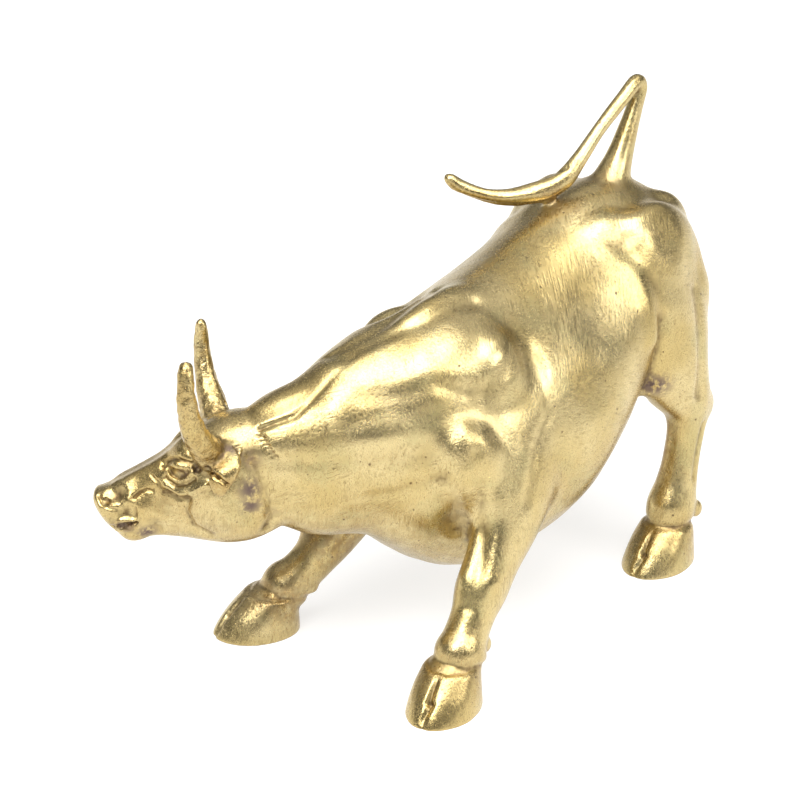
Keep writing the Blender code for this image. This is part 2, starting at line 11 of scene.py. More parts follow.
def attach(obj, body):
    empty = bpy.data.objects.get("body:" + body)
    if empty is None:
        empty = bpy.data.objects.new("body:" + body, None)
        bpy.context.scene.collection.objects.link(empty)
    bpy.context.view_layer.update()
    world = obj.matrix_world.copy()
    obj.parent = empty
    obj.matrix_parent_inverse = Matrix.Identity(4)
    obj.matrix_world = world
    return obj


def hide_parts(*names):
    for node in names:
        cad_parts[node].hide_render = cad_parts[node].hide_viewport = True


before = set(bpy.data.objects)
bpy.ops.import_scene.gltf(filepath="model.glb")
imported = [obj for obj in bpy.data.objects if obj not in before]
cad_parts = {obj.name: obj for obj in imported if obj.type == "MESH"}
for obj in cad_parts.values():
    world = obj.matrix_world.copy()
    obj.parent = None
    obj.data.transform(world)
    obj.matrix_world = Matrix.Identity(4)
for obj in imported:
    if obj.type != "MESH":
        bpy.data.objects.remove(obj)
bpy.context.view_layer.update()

MM = 0.001
RING_SIDES = 32
STEPS_BETWEEN_STATIONS = 6
TRUNK_SQUARE = 2.2
TRUNK_ROOF = 1.72
NECK_SQUARE = 2.1
LUMP_SEGMENTS = (28, 18)

# y, underside, back, half width, height where it is widest
TRUNK = (
    (89, 88, 106, 7, 98),
    (85, 74, 118, 19, 98),
    (76, 66, 126, 26, 98),
    (62, 59, 129.5, 31, 96),
    (46, 50, 128, 35, 90),
    (30, 39, 122.5, 39, 79),
    (12, 28, 117.5, 41.5, 70),
    (-6, 22.5, 115, 40, 68),
    (-22, 21.5, 114.5, 36, 69),
    (-36, 27, 113, 31, 70),
    (-50, 38, 106.5, 25, 71),
    (-59, 47, 98, 17, 72),
    (-64, 57, 88, 9, 72),
)

# place, half sizes, nod about X in degrees
MASSES = (
    ((20, -22, 87), (11, 15, 20), -18),
    ((25, -38, 70), (10, 12, 17), 20),
    ((31, -30, 56), (9, 12, 14), 35),
    ((0, -20, 106), (10, 26, 10), 0),
    ((20, 62, 100), (13, 23, 26), 8),
    ((25, 50, 84), (10, 13, 20), -14),
    ((12, 79, 111), (10, 9, 12), 0),
    ((33, 73.5, 51.5), (5.2, 10, 8), 0),
)

# The neck, from inside the chest to inside the head: x, y, z, half width, half height
NECK = (
    (0, -26, 70, 28, 43),
    (-2, -40, 73, 27, 38.5),
    (-7, -54, 73.5, 23.5, 33),
    (-13, -66, 71.5, 19.5, 27.5),
    (-20, -76, 70.3, 16, 23.2),
    (-28, -84, 68, 12, 18),
)


def smooth_stations(table):
    """The rows of a table with more rows between them, on one smooth curve through all of them."""
    rows = np.array(table, float)
    padded = np.vstack([2 * rows[0] - rows[1], rows, 2 * rows[-1] - rows[-2]])
    made = []
    for i in range(1, len(padded) - 2):
        a, b, c, d = padded[i - 1 : i + 3]
        for step in range(STEPS_BETWEEN_STATIONS):
            t = step / STEPS_BETWEEN_STATIONS
            bend = (2 * a - 5 * b + 4 * c - d) * t**2 + (3 * b - a - 3 * c + d) * t**3
            made.append(b + 0.5 * ((c - a) * t + bend))
    made.append(rows[-1])
    return np.array(made)


def other_side(places):
    """The matching places on the other side of the bull, mirrored in the line of its bent neck."""
    matching = np.array(places, float)
    neck = np.array(NECK, float)
    bend = np.interp(-matching[..., 1], -neck[:, 1], neck[:, 0])
    matching[..., 0] = 2 * bend - matching[..., 0]
    return matching


def skin_over(rings):
    """Adds a closed tube of wax: one loop of points for each ring, and a cap at both ends."""
    loops = [[wax.verts.new(point) for point in ring] for ring in rings]
    sides = len(loops[0])
    for near, far in zip(loops, loops[1:]):
        for i in range(sides):
            after = (i + 1) % sides
            wax.faces.new((near[i], near[after], far[after], far[i]))
    wax.faces.new(list(reversed(loops[0])))
    wax.faces.new(loops[-1])


def oval(square=2.0, roof=None):
    """Across and up shares of the points round an oval. A square above 2 fills out its corners.

    A roof is the square of its upper half, and below 2 it makes that half steeper and its top narrower.
    """
    angles = np.linspace(0, 2 * math.pi, RING_SIDES, endpoint=False)
    across, up = np.cos(angles), np.sin(angles)
    power = 2 / np.where(up > 0, roof or square, square)
    return np.sign(across) * abs(across) ** power, np.sign(up) * abs(up) ** power


def tube_rings(places, half_widths, half_heights, square=2.0):
    """Ovals along a line of places, each at right angles to the way the line runs there."""
    across, up = oval(square)
    ways = np.gradient(places, axis=0)
    rings = []
    for place, way, half_width, half_height in zip(places, ways, half_widths, half_heights):
        way = way / np.linalg.norm(way)
        rise = np.cross((1.0, 0.0, 0.0), way)
        rise /= np.linalg.norm(rise)
        side = np.cross(way, rise)
        rings.append(place + np.outer(across * half_width, side) + np.outer(up * half_height, rise))
    return rings


def limb(table, square=2.0):
    rows = smooth_stations(table)
    skin_over(tube_rings(rows[:, :3], rows[:, 3], rows[:, 4], square))


def lump(place, half_sizes, nod=0.0):
    """An egg-shaped lump of wax."""
    at = Matrix.Translation(Vector(place)) @ Matrix.Rotation(math.radians(nod), 4, "X")
    stretch = Matrix.Diagonal((*half_sizes, 1.0))
    round_it, up_it = LUMP_SEGMENTS
    bmesh.ops.create_uvsphere(wax, u_segments=round_it, v_segments=up_it, radius=1.0, matrix=at @ stretch)


wax = bmesh.new()
across, up = oval(TRUNK_SQUARE, roof=TRUNK_ROOF)
trunk_rings = []
for y, under, back, half_width, widest in smooth_stations(TRUNK):
    rise = np.where(up > 0, back - widest, widest - under)
    trunk_rings.append(np.column_stack([half_width * across, np.full(len(up), y), widest + rise * up]))
skin_over(trunk_rings)
limb(NECK, NECK_SQUARE)
for place, half_sizes, nod in MASSES:
    lump(place, half_sizes, nod)
    if place[0]:
        lump(other_side(place), half_sizes, nod)

# The head, lowered and turned to the bull's right, with its two horns and two hanging ears.
# Places on it are measured from the poll: along the head, to its left, and up.
POLL = (-26, -81, 92.5)
HEAD_TURN = math.radians(50)
HEAD_DROOP = math.radians(14)
HEAD_TILT = math.radians(-8)
HEAD_SQUARE = 2.25
NARROW_JAW = 0.14
EAR_FACES_SIDEWAYS = 0.8
EAR_FACES_UP = 0.6

# distance from the poll, top, underside, half width
HEAD = (
    (-9, -14, -33, 7),
    (-4, -6.5, -38.5, 11),
    (3, -3, -42, 13.8),
    (11, -2.2, -43.8, 15),
    (19, -4, -43.3, 14.5),
    (26, -7.2, -41, 12.8),
    (33, -10.8, -38.3, 10.6),
    (40, -13, -36.2, 9.2),
    (46, -14.7, -35.4, 8.8),
    (50.5, -16, -34, 8.5),
    (54.3, -16.6, -29.5, 7.3),
    (56.0, -16.8, -25.5, 6.2),
    (56.8, -18.0, -22, 4.4),
)

# along, side, up, half thickness
HORN = (
    (13, 5, -11, 5.6),
    (15.2, 11, -11.5, 5.6),
    (15.8, 15, -9, 5.2),
    (16.4, 19.5, -4.6, 4.6),
    (17, 22.8, 1, 4.0),
    (16.7, 24.6, 6.8, 3.4),
    (16, 25.4, 12.5, 3.0),
    (14.8, 25, 17.8, 2.6),
    (13.9, 24.3, 21, 2.3),
    (13.5, 24, 22.3, 1.7),
    (13.3, 23.8, 22.9, 0.7),
)

# along, side, up, half thickness, half width
EAR = (
    (9, 10, -8, 1.5, 3.0),
    (10.5, 15.5, -11, 1.9, 4.8),
    (11.5, 19.5, -14, 2.0, 5.2),
    (12.8, 21.2, -17, 1.8, 4.4),
    (14, 21.4, -19.6, 1.3, 2.6),
    (14.6, 21, -21.3, 0.7, 1.1),
)
turned = Matrix.Rotation(-HEAD_TURN, 3, "Z") @ Matrix.Rotation(HEAD_DROOP, 3, "X")
tilted = turned @ Matrix.Rotation(HEAD_TILT, 3, "Y")
ahead, left, above = (np.array(tilted @ Vector(way)) for way in ((0, -1, 0), (1, 0, 0), (0, 0, 1)))


def on_head(along, side, rise):
    return np.array(POLL) + along * ahead + side * left + rise * above


across, up = oval(HEAD_SQUARE)
jaw_share = 1 + NARROW_JAW * up
head_rings = []
for along, top, under, half_width in smooth_stations(HEAD):
    centre = on_head(along, 0, (top + under) / 2)
    half_height = (top - under) / 2
    sideways = np.outer(across * half_width * jaw_share, left)
    head_rings.append(centre + sideways + np.outer(up * half_height, above))
skin_over(head_rings)
across, up = oval()
for flip in (1, -1):
    horn = smooth_stations(HORN)
    places = np.array([on_head(along, flip * side, rise) for along, side, rise in horn[:, :3]])
    skin_over(tube_rings(places, horn[:, 3], horn[:, 3]))
    ear_faces = flip * left * EAR_FACES_SIDEWAYS + above * EAR_FACES_UP
    ear_rings = []
    for along, side, rise, thick, width in smooth_stations(EAR):
        centre = on_head(along, flip * side, rise)
        ear_rings.append(centre + np.outer(across * width, ahead) + np.outer(up * thick, ear_faces))
    skin_over(ear_rings)

# The four legs: the near foreleg reaching ahead, the off one reaching further out, and two braced hind legs.
# Each ends in a cloven hoof with a broad sole, two dewclaws behind, and a step round its crown.

# x, y, z, half width, half depth
FORELEG = (
    (24, -14, 76, 12, 23),
    (29, -20, 62, 12, 19),
    (32.5, -29, 50, 10.5, 13.5),
    (34.5, -38, 40, 8.4, 10),
    (35.5, -45.5, 31.5, 8.0, 9.0),
    (36, -50, 25, 6.8, 7.4),
    (36.5, -54, 19.5, 7.0, 7.4),
    (37, -57, 15.5, 8.2, 8.8),
    (37.2, -59, 11, 7.4, 7.6),
    (37.3, -60.5, 6, 6.5, 7),
)
FAR_FORELEG = (
    (-20, -14, 74, 12, 23),
    (-22.5, -22, 59, 12, 18),
    (-23, -31, 46, 10.5, 13),
    (-25, -39.5, 36, 8.8, 9.8),
    (-28, -46.5, 28, 8.2, 8.8),
    (-30, -51, 22.5, 7.2, 7.6),
    (-32.5, -55, 18, 7.2, 7.6),
    (-35, -58, 14.5, 8.2, 8.6),
    (-36.5, -60.5, 10, 7.4, 7.6),
    (-37.3, -62, 6, 6.5, 7),
)
HIND_LEG = (
    (19, 58, 100, 13, 28),
    (24, 59, 87, 12.5, 27),
    (28, 62, 75, 11, 21),
    (30.5, 66, 64, 9, 14.5),
    (31.8, 70, 54, 7.6, 10),
    (32.3, 70, 45, 6.3, 7.6),
    (32.5, 67.5, 35, 6.0, 6.8),
    (32.7, 65, 26, 6.8, 7.4),
    (32.8, 62.5, 18.5, 8.2, 9),
    (33, 60, 12.5, 7.6, 8),
    (33, 58.5, 7, 6.6, 7),
)

# height, step forward, half width, half length
HOOF = (
    (15, 0, 5.5, 5),
    (13.5, -1, 8.2, 8.2),
    (11, -2.2, 9.3, 10),
    (7, -4.2, 10.3, 12),
    (2.5, -5.8, 11, 13.8),
    (-1, -6.6, 11.1, 14.4),
    (-2.5, -6.6, 9.0, 12.0),
)
HOOF_SQUARE = 2.3
TOE_IN = 0.22
DEWCLAW_SIZES = (2.2, 2.6, 3.2)
DEWCLAW_ASIDE = 5.2
DEWCLAW_HEIGHT = 15.5

# crown, turn of the toe to its left, how far behind the crown its dewclaws stand
HOOVES = (
    {"crown": (36.9, -60.8), "turn": math.radians(12), "dewclaws": 11.3},
    {"crown": (-37.3, -62.0), "turn": math.radians(-28), "dewclaws": 11.3},
    {"crown": (33.0, 60.5), "turn": math.radians(4), "dewclaws": 9.0},
    {"crown": (-33.0, 60.5), "turn": math.radians(-4), "dewclaws": 9.0},
)


def hoof_frame(hoof):
    """A hoof's crown, and its directions to its toe and to its left."""
    turn = hoof["turn"]
    to_toe = np.array([math.sin(turn), -math.cos(turn), 0.0])
    to_left = np.array([math.cos(turn), math.sin(turn), 0.0])
    return np.array([*hoof["crown"], 0.0]), to_toe, to_left


for leg in (FORELEG, FAR_FORELEG, HIND_LEG, other_side(HIND_LEG)):
    limb(leg)
across, along = oval(HOOF_SQUARE)
toe_share = 1 - TOE_IN * np.clip(along, 0, 1) ** 2
for hoof in HOOVES:
    crown, to_toe, to_left = hoof_frame(hoof)
    rings = []
    for height, step, half_width, half_length in smooth_stations(HOOF):
        centre = crown - to_toe * step + (0, 0, height)
        sideways = np.outer(across * half_width * toe_share, to_left)
        rings.append(centre + sideways + np.outer(along * half_length, to_toe))
    skin_over(rings)
    for flip in (1, -1):
        behind = crown - to_toe * hoof["dewclaws"] + to_left * flip * DEWCLAW_ASIDE
        lump(behind + (0, 0, DEWCLAW_HEIGHT), DEWCLAW_SIZES)

# The tail: up from its root, over in an arch, down to the croup, and its tuft over the off hip.
# It is cast in one with the body, thin in the arch and thicker again in the tuft.

# x, y, z, half thickness
TAIL = (
    (0, 60, 119, 8.5),
    (0, 66, 126, 6.8),
    (0, 71, 134, 4.6),
    (0, 75.5, 143, 3.4),
    (0, 79.5, 151, 2.75),
    (0, 81.5, 156, 2.5),
    (0, 79, 158.2, 2.5),
    (0, 71.5, 154.2, 2.4),
    (-1, 60.5, 146.5, 2.25),
    (-1.5, 50.5, 138.8, 2.6),
    (-3, 43.5, 133, 3.5),
    (-8, 37.5, 129.5, 4.0),
    (-15, 31.5, 127.5, 3.5),
    (-22, 26.5, 128, 3.0),
    (-28, 22, 131, 2.5),
    (-31, 19.6, 134, 1.9),
    (-32, 18.8, 135.2, 0.75),
)
tail = smooth_stations(TAIL)
skin_over(tube_rings(tail[:, :3], tail[:, 3], tail[:, 3]))

# The casting: all the wax forms joined in one closed skin, softened where they meet, and finer on the head.
# The same skin is then carved, so the class below holds its points and the ways of pushing them.
SKIN_VOXEL = 0.75
RELAX_ROUNDS = 5
PULL, PUSH = 0.5, -0.52
MELT_ROUNDS = 30
MELT_PULL = 0.6

# The skin is twice as fine near these: the middle of the head, and that of each hoof from its crown
HEAD_MIDDLE = on_head(25, 0, -18)
HEAD_REACH = 38
HOOF_AHEAD, HOOF_UP = 6, 8
HOOF_REACH = 14

# place, reach, softness: where the forms run softly into one another, alone, in pairs, and under each horn
JOINS = (
    ((-22, -78, 70), 30, 0.5),
    ((0, 62, 126), 13, 0.3),
    ((-3, 40, 130), 9, 0.3),
    ((-16, 30, 124), 12, 0.3),
)
PAIRED_JOINS = (
    ((32, -36, 40), 16, 0.4),
    ((32, 70, 58), 15, 0.35),
)
HORN_JOIN = ((14, 13, -9), 8, 0.15)


class Clay:
    """The skin's points in drawn millimetres, and the ways of pushing them that shape it."""

    def __init__(self, mesh):
        self.mesh = mesh
        self.points = np.empty(len(mesh.vertices) * 3)
        mesh.vertices.foreach_get("co", self.points)
        self.points = self.points.reshape(-1, 3)
        ends = np.empty(len(mesh.edges) * 2, int)
        mesh.edges.foreach_get("vertices", ends)
        self.ends = ends.reshape(-1, 2)
        self.neighbours = np.bincount(self.ends.ravel(), minlength=len(self.points))
        self.face_out()

    def middles(self, of):
        """The mean of some rows of values over each point's neighbours."""
        start, end = self.ends.T
        sums = [
            np.bincount(start, of[end, axis], len(of)) + np.bincount(end, of[start, axis], len(of))
            for axis in range(of.shape[1])
        ]
        return np.column_stack(sums) / self.neighbours[:, None]

    def relax(self, rounds):
        """Evens out the skin's small steps, each pull followed by a push back, so that thin parts keep."""
        for pull in (PULL, PUSH) * rounds:
            self.points += pull * (self.middles(self.points) - self.points)

    def melt(self, rounds, where):
        """Softens the skin by a share for each point, and lets it shrink."""
        for _ in range(rounds):
            self.points += MELT_PULL * where[:, None] * (self.middles(self.points) - self.points)

    def face_out(self):
        """Works out which way each point faces."""
        self.write_back()
        found = np.empty(len(self.points) * 3)
        self.mesh.vertex_normals.foreach_get("vector", found)
        self.out = found.reshape(-1, 3)

    def near(self, place, reach, nod=0.0, turn=0.0):
        """1 at a drawn place, falling smoothly to 0 at the reach across, along and up."""
        lean = Matrix.Rotation(math.radians(turn), 3, "Z") @ Matrix.Rotation(math.radians(nod), 3, "X")
        offset = (self.points - place) @ np.array(lean)
        far = np.linalg.norm(offset / reach, axis=1)
        return np.clip(1 - far * far, 0, 1) ** 2

    def swell(self, place, reach, height, nod=0.0, turn=0.0):
        """Raises the skin round a place by a drawn height, or hollows it where the height is negative."""
        self.points += self.out * (self.near(place, reach, nod, turn) * height)[:, None]

    def on_skin(self, path):
        """The skin's nearest point to each drawn place of a path."""
        return [self.points[((self.points - place) ** 2).sum(axis=1).argmin()] for place in path]

    def stroke(self, width, first, last, path, edge=2.0):
        """Cuts a groove along a line of drawn places, from one drawn depth to another, or raises a ridge."""
        path = np.array(self.on_skin(path))
        low, high = path.min(axis=0) - 3 * width, path.max(axis=0) + 3 * width
        close = np.flatnonzero(((self.points > low) & (self.points < high)).all(axis=1))
        places = self.points[close]
        nearest = np.full(len(places), np.inf)
        depth = np.zeros(len(places))
        for i, (start, end) in enumerate(zip(path, path[1:])):
            way = end - start
            share = np.clip((places - start) @ way / (way @ way), 0, 1)
            far = np.linalg.norm(places - start - share[:, None] * way, axis=1)
            done = (i + share) / (len(path) - 1)
            depth = np.where(far < nearest, first + (last - first) * done, depth)
            nearest = np.minimum(nearest, far)
        self.points[close] -= self.out[close] * (np.exp(-((nearest / width) ** edge)) * depth)[:, None]

    def write_back(self):
        self.mesh.vertices.foreach_set("co", self.points.ravel())
        self.mesh.update()


def softness(clay):
    """How freely each point may soften: most on the trunk, least on hooves, head, horns and tail."""
    x, y, z = clay.points.T
    low = np.clip((z - 34) / 22, 0, 1)
    tail_share = 1 - np.clip((z - 126) / 4, 0, 1)
    head_share = 1 - np.clip((-y - 64) / 12, 0, 1)
    joins = [clay.near(place, reach) * share for place, reach, share in JOINS]
    (along, side, rise), horn_reach, horn_share = HORN_JOIN
    for flip in (1, -1):
        for (x_of_left, *others), reach, share in PAIRED_JOINS:
            joins.append(clay.near((flip * x_of_left, *others), reach) * share)
        joins.append(clay.near(on_head(along, flip * side, rise), horn_reach) * horn_share)
    return np.maximum.reduce([low * tail_share * head_share, *joins])


def evaluated_mesh(thing):
    """The object's mesh as its modifiers leave it. The object itself goes."""
    graph = bpy.context.evaluated_depsgraph_get()
    made = bpy.data.meshes.new_from_object(thing.evaluated_get(graph))
    bpy.data.objects.remove(thing)
    return made


bmesh.ops.recalc_face_normals(wax, faces=wax.faces)
wax_mesh = bpy.data.meshes.new("wax")
wax.to_mesh(wax_mesh)
wax.free()
figure = bpy.data.objects.new("wax", wax_mesh)
bpy.context.scene.collection.objects.link(figure)
merge = figure.modifiers.new("merge", "REMESH")
merge.mode = "VOXEL"
merge.voxel_size = SKIN_VOXEL
merge.adaptivity = 0.0
clay = Clay(evaluated_mesh(figure))
finer = SKIN_VOXEL**-2
clay.relax(round(RELAX_ROUNDS * finer))
clay.melt(round(MELT_ROUNDS * finer), softness(clay))
clay.write_back()

skin = bmesh.new()
skin.from_mesh(clay.mesh)
skin.verts.ensure_lookup_table()
fine = np.linalg.norm(clay.points - HEAD_MIDDLE, axis=1) < HEAD_REACH
for hoof in HOOVES:
    crown, to_toe, _ = hoof_frame(hoof)
    from_middle = clay.points - crown - to_toe * HOOF_AHEAD - (0, 0, HOOF_UP)
    fine |= np.linalg.norm(from_middle, axis=1) < HOOF_REACH
fine_edges = [edge for edge in skin.edges if fine[edge.verts[0].index] and fine[edge.verts[1].index]]
bmesh.ops.subdivide_edges(skin, edges=fine_edges, cuts=1, use_grid_fill=True)
skin.to_mesh(clay.mesh)
skin.free()
clay = Clay(clay.mesh)
clay.relax(3)
clay.face_out()

# Muscles and bones worked into the wax: soft swellings and hollows, then the lines between the muscles.
# Both are drawn on the left side and repeated on the right, bent with the neck.

# place, reach across, along and up, height, nod, turn
SWELLS = (
    ((17, -36, 102), (17, 30, 15), 2.6, 14, 0),
    ((12, -64, 85), (14, 24, 8), 1.4, 5, 0),
    ((24, -49, 82), (10, 10, 14), 0.5, 0, 0),
    ((28, -13, 97), (9, 8, 16), -1.2, 0, 0),
    ((25, -46, 50), (5, 6, 12), -1.0, 0, 0),
    ((16, 46, 122.5), (8, 13, 9), 1.9, 0, -25),
    ((27, 59, 117), (9, 9, 13), -1.1, 0, 0),
    ((30, 24, 104), (14, 17, 22), -0.9, -25, 0),
    ((33, 58, 95), (9, 14, 21), 1.7, 8, 0),
    ((27, 81, 93), (9, 9, 21), 1.6, 6, 0),
    ((25, 52, 66), (9, 9, 9), -2.0, 0, 0),
    ((39.5, 6, 66), (12, 26, 18), 0.9, 0, 0),
)

# width, depth at the first place, depth at the last (raised if negative), places
LINES = (
    (
        3.0, 0.9, 1.0,
        ((-7.5, -60.8, 105), (-2.1, -47.2, 108.4), (4, -36, 111), (5, -24.6, 114), (8, -16, 113.5)),
    ),
    (
        2.8, 0.2, 0.5,
        (
            (14.3, -13.1, 109), (20.3, -12.5, 105.3), (25, -17, 102.7), (27.2, -23.2, 98.7),
            (25, -32.5, 94),
        ),
    ),
    (3.2, 0.4, 0.8, ((4.5, -65.9, 96.4), (12, -56.3, 95.8), (16.7, -46.5, 98), (21.7, -38.6, 94.5))),
    (
        2.3, 0.2, 0.7,
        (
            (24.7, -6.9, 100.2), (33.1, -10.6, 87), (35.5, -12, 80.6), (38.3, -22, 72.7),
            (41.5, -29.4, 59),
        ),
    ),
    (3.0, 0.5, 0.4, ((-10.1, -88.4, 78.4), (4.5, -74.9, 77.9), (13.7, -63, 76.3), (20.8, -52.8, 76.8))),
    (2.2, 0.2, 0.6, ((3.7, -74.2, 63.9), (15.6, -60.6, 66), (24.3, -50.8, 69.2))),
    (3.0, 0.1, 1.0, ((22.5, -54, 76), (22.8, -54, 70), (23, -52.5, 63), (23.5, -49, 54), (26, -45, 47))),
    (2.8, 0.1, 0.3, ((23.3, -36.5, 91.4), (27.1, -40.2, 85), (30.5, -43.5, 79))),
    (
        2.4, 0.7, 0.7,
        ((31, -43.2, 77), (32.8, -42, 61.4), (34.6, -42.5, 50.6), (37, -47, 40), (37.5, -52, 30)),
    ),
    (
        3.0, -0.7, -0.9,
        ((29, -46.5, 72), (29.3, -46.5, 66), (29.8, -46.5, 57), (31, -47, 48), (33, -51, 38)),
    ),
    (
        3.8, -0.7, -1.1,
        ((35.5, -35.5, 76), (36.8, -36.5, 70), (38.2, -39, 60), (39.5, -42, 49), (41, -46, 38)),
    ),
    (
        4.4, -0.3, -1.7,
        (
            (14, 37, 120.5), (21, 38.7, 115.7), (29.2, 42.7, 108.1), (33.6, 43.6, 100.8),
            (36.8, 42.8, 88),
        ),
    ),
    (2.8, 1.0, 2.0, ((37, 49, 92), (36.5, 47, 84), (35, 46, 76), (31, 47, 69))),
    (2.6, 0.9, 1.3, ((32.9, 69.2, 95), (37.1, 68.4, 79), (38.4, 67.2, 60))),
    (1.4, 1.0, 0.8, ((38.3, 71.5, 47), (38.4, 68.5, 37), (38.6, 66, 29))),
)

# The off side's muscles are this share as strong, and its shoulder sinks by the swelling given here
FAR_SHARE = 0.6
FAR_SHOULDER = ((-19, -25, 107), (13, 19, 12), -4.6)

# The nape's flat ridge and its edges, the cleft under the tail, and the locks of the tail's tuft
NAPE_SQUARE = 6.0
NAPE_RIDGE = (6.5, -0.9, -0.2)
NAPE_GROOVE = (1.0, 0.9, 0.3)
CLEFT_GROOVE = (3.0, 0.8, 2.2)
LOCK_GROOVE = (0.8, 0.5, 0.7)
NAPE = ((-24, -80, 92), (-18, -73, 95.5), (-12, -64.5, 100.5), (-7, -54, 107), (-3, -43, 111.5))
NAPE_EDGE = ((-17.5, -89, 88), (-10.2, -81.1, 91.6), (-6.5, -70.5, 98.6), (-4.6, -58, 105.6))
CLEFT = ((0, 82, 116), (0, 90, 104), (0, 90, 94), (0, 85, 82), (0, 78, 70))
TUFT_LOCKS = (
    ((-2, 46, 136), (-6, 41.5, 133.6), (-14, 34.5, 131), (-22, 28.5, 131.2), (-29, 23.5, 133)),
    ((-1, 43, 131.5), (-7, 36, 127.6), (-14, 29.5, 126), (-22, 24.5, 126.8), (-29, 21, 131)),
)

for place, reach, height, nod, turn in SWELLS:
    clay.swell(place, reach, height, nod, turn)
    clay.swell(other_side(place), reach, height * FAR_SHARE, nod, -turn)
clay.swell(*FAR_SHOULDER)
clay.face_out()
for width, first, last, path in LINES:
    clay.stroke(width, first, last, path)
    clay.stroke(width, first, last, other_side(path))
clay.stroke(*NAPE_RIDGE, NAPE, edge=NAPE_SQUARE)
for edge_line in (NAPE_EDGE, other_side(NAPE_EDGE)):
    clay.stroke(*NAPE_GROOVE, edge_line)
clay.stroke(*CLEFT_GROOVE, CLEFT)
for lock in TUFT_LOCKS:
    clay.stroke(*LOCK_GROOVE, lock)
clay.face_out()

# The face: brows, lidded eyes, cheek discs, nostrils and lips, and the fold that runs down each ear.
# All of it is drawn on the head's left side, along the head, to its side and above the poll.

# place, reach, height
FACE_SWELLS = (
    ((24.5, 9.5, -7.6), 7.5, 2.1),
    ((27.2, 11.5, -14.4), 5.2, -1.9),
    ((27.2, 10.8, -13.6), 3.9, 2.1),
    ((17.1, 16.5, -27), 12.5, 2.2),
    ((34, 10, -22.5), 8.5, -1.6),
    ((49.2, 8, -16.8), 4.8, -2.0),
    ((41, 8.5, -18), 6.5, -1.0),
    ((52.3, 8, -21.5), 3.6, 1.0),
    ((47.1, 9.5, -23.8), 4.2, -1.0),
    ((47.6, 4.5, -34), 6, 1.2),
    ((39.5, 7.5, -31), 5, -1.0),
    ((20.9, 13.6, -13.8), 2.0, -1.7),
    ((31.9, 8, -12.2), 1.8, -1.6),
    ((26.5, 11.8, -14.8), 1.4, -0.9),
    ((52.0, 8.2, -18.4), 2.0, -1.5),
    ((49.6, 8.0, -29.0), 1.8, -0.9),
    ((47.2, 8.4, -28.8), 1.5, 0.9),
    ((51.0, 7.4, -28.6), 1.4, 0.8),
)

# width, depth at the first place, depth at the last, places
FACE_LINES = (
    (
        0.7, 0.5, 1.1,
        (
            (32.4, 7.2, -11), (29.5, 8.4, -10.2), (26.3, 10.4, -10.4), (23.4, 12.2, -11.6),
            (20.6, 13.4, -13.2),
        ),
    ),
    (
        0.7, -0.35, -0.35,
        (
            (31.4, 8.2, -12.5), (29.5, 9.3, -12), (27, 10.8, -12.2), (24.5, 12.2, -12.9),
            (22, 13.4, -13.9),
        ),
    ),
    (
        0.55, -0.9, -0.7,
        (
            (31.4, 8.8, -13), (30.2, 10.2, -15.4), (28.3, 11.2, -16.7), (25.7, 12.3, -16.3),
            (22.8, 13.4, -14.6),
        ),
    ),
    (0.65, 0.9, 0.9, ((31.8, 9.4, -15.7), (29.4, 11.1, -18.2), (26, 12.5, -18.2), (22.5, 14, -16.6))),
    (
        1.1, -0.6, -1.0,
        (
            (32.6, 9.8, -18.3), (30.9, 11.3, -19.8), (28.9, 12.3, -20.9), (26, 13.5, -21.2),
            (19.3, 16.3, -18.6),
        ),
    ),
    (1.1, 0.9, 0.8, ((32.5, 9.6, -20.4), (29.5, 11.6, -22.6), (26.6, 13.2, -22.8))),
    (1.6, 1.1, 1.0, ((26.6, 13.2, -22.4), (27.9, 10.7, -26.8), (27.4, 9, -32.6), (23.7, 8.9, -36.9))),
    (2.0, 1.0, 1.6, ((3, 15, -16), (1.5, 15.5, -24), (1, 14.5, -31), (2, 12, -38), (5, 9, -41))),
    (0.9, -0.3, -0.7, ((55, 5.2, -17.8), (54.6, 6.6, -20), (53.8, 6.8, -23.4))),
    (0.6, 0.9, 0.6, ((54.2, 6.4, -16.6), (53.4, 7.6, -19.4), (51.6, 8.8, -21.6), (49.6, 9.2, -22.4))),
    (0.6, 1.2, 1.5, ((52.6, 5, -28.3), (50.5, 7.4, -28.2), (47.8, 8.6, -28.1), (45.1, 7.8, -28.2))),
    (0.65, -0.4, -0.9, ((52.3, 6, -26.6), (49.3, 8.8, -26.4), (46.8, 9, -26.6), (45, 8.2, -27.2))),
    (0.65, -0.3, -0.9, ((52, 5, -29.9), (49.8, 7, -29.9), (46.5, 7.5, -29.9))),
    (0.5, 0.9, 0.6, ((43.3, 8.4, -19.7), (41.5, 7.9, -18.8), (39.1, 7.9, -18.4), (37.2, 8.6, -19.2))),
    (0.5, 0.7, 0.5, ((46.5, 8.8, -30.6), (44.2, 8.4, -26), (43.6, 8.6, -23))),
    (0.5, 0.6, 0.4, ((36.5, 8.2, -14), (34.6, 9, -17), (33.8, 9.8, -20.5))),
    (2.6, -0.8, -0.7, ((20, 5.5, -4.8), (30, 4.8, -9.2), (40, 4.4, -13), (48, 4.2, -15.6))),
)
EAR_FOLD = ((16.4, 18.4, -12.6), (13.8, 21.2, -15.4), (11.6, 22.4, -18.4))
EAR_GROOVE = (0.65, 2.0, 1.5)

# The hair behind the ear: its strokes, and the first one's root and tip with the step to the next
HAIR_STROKES = 7
HAIR_GROOVE = (0.55, 1.1, 0.6)
HAIR_ROOT, HAIR_ROOT_STEP = (6.5, 16.5, -1.5), (-0.4, 0, -2.0)
HAIR_TIP, HAIR_TIP_STEP = (0.5, 18.5, -3.5), (-0.7, 0, -2.1)


def on_head_side(flip, places):
    """Drawn places of a line on the head's left side, or on its right one where flip is -1."""
    return [on_head(along, flip * side, rise) for along, side, rise in places]


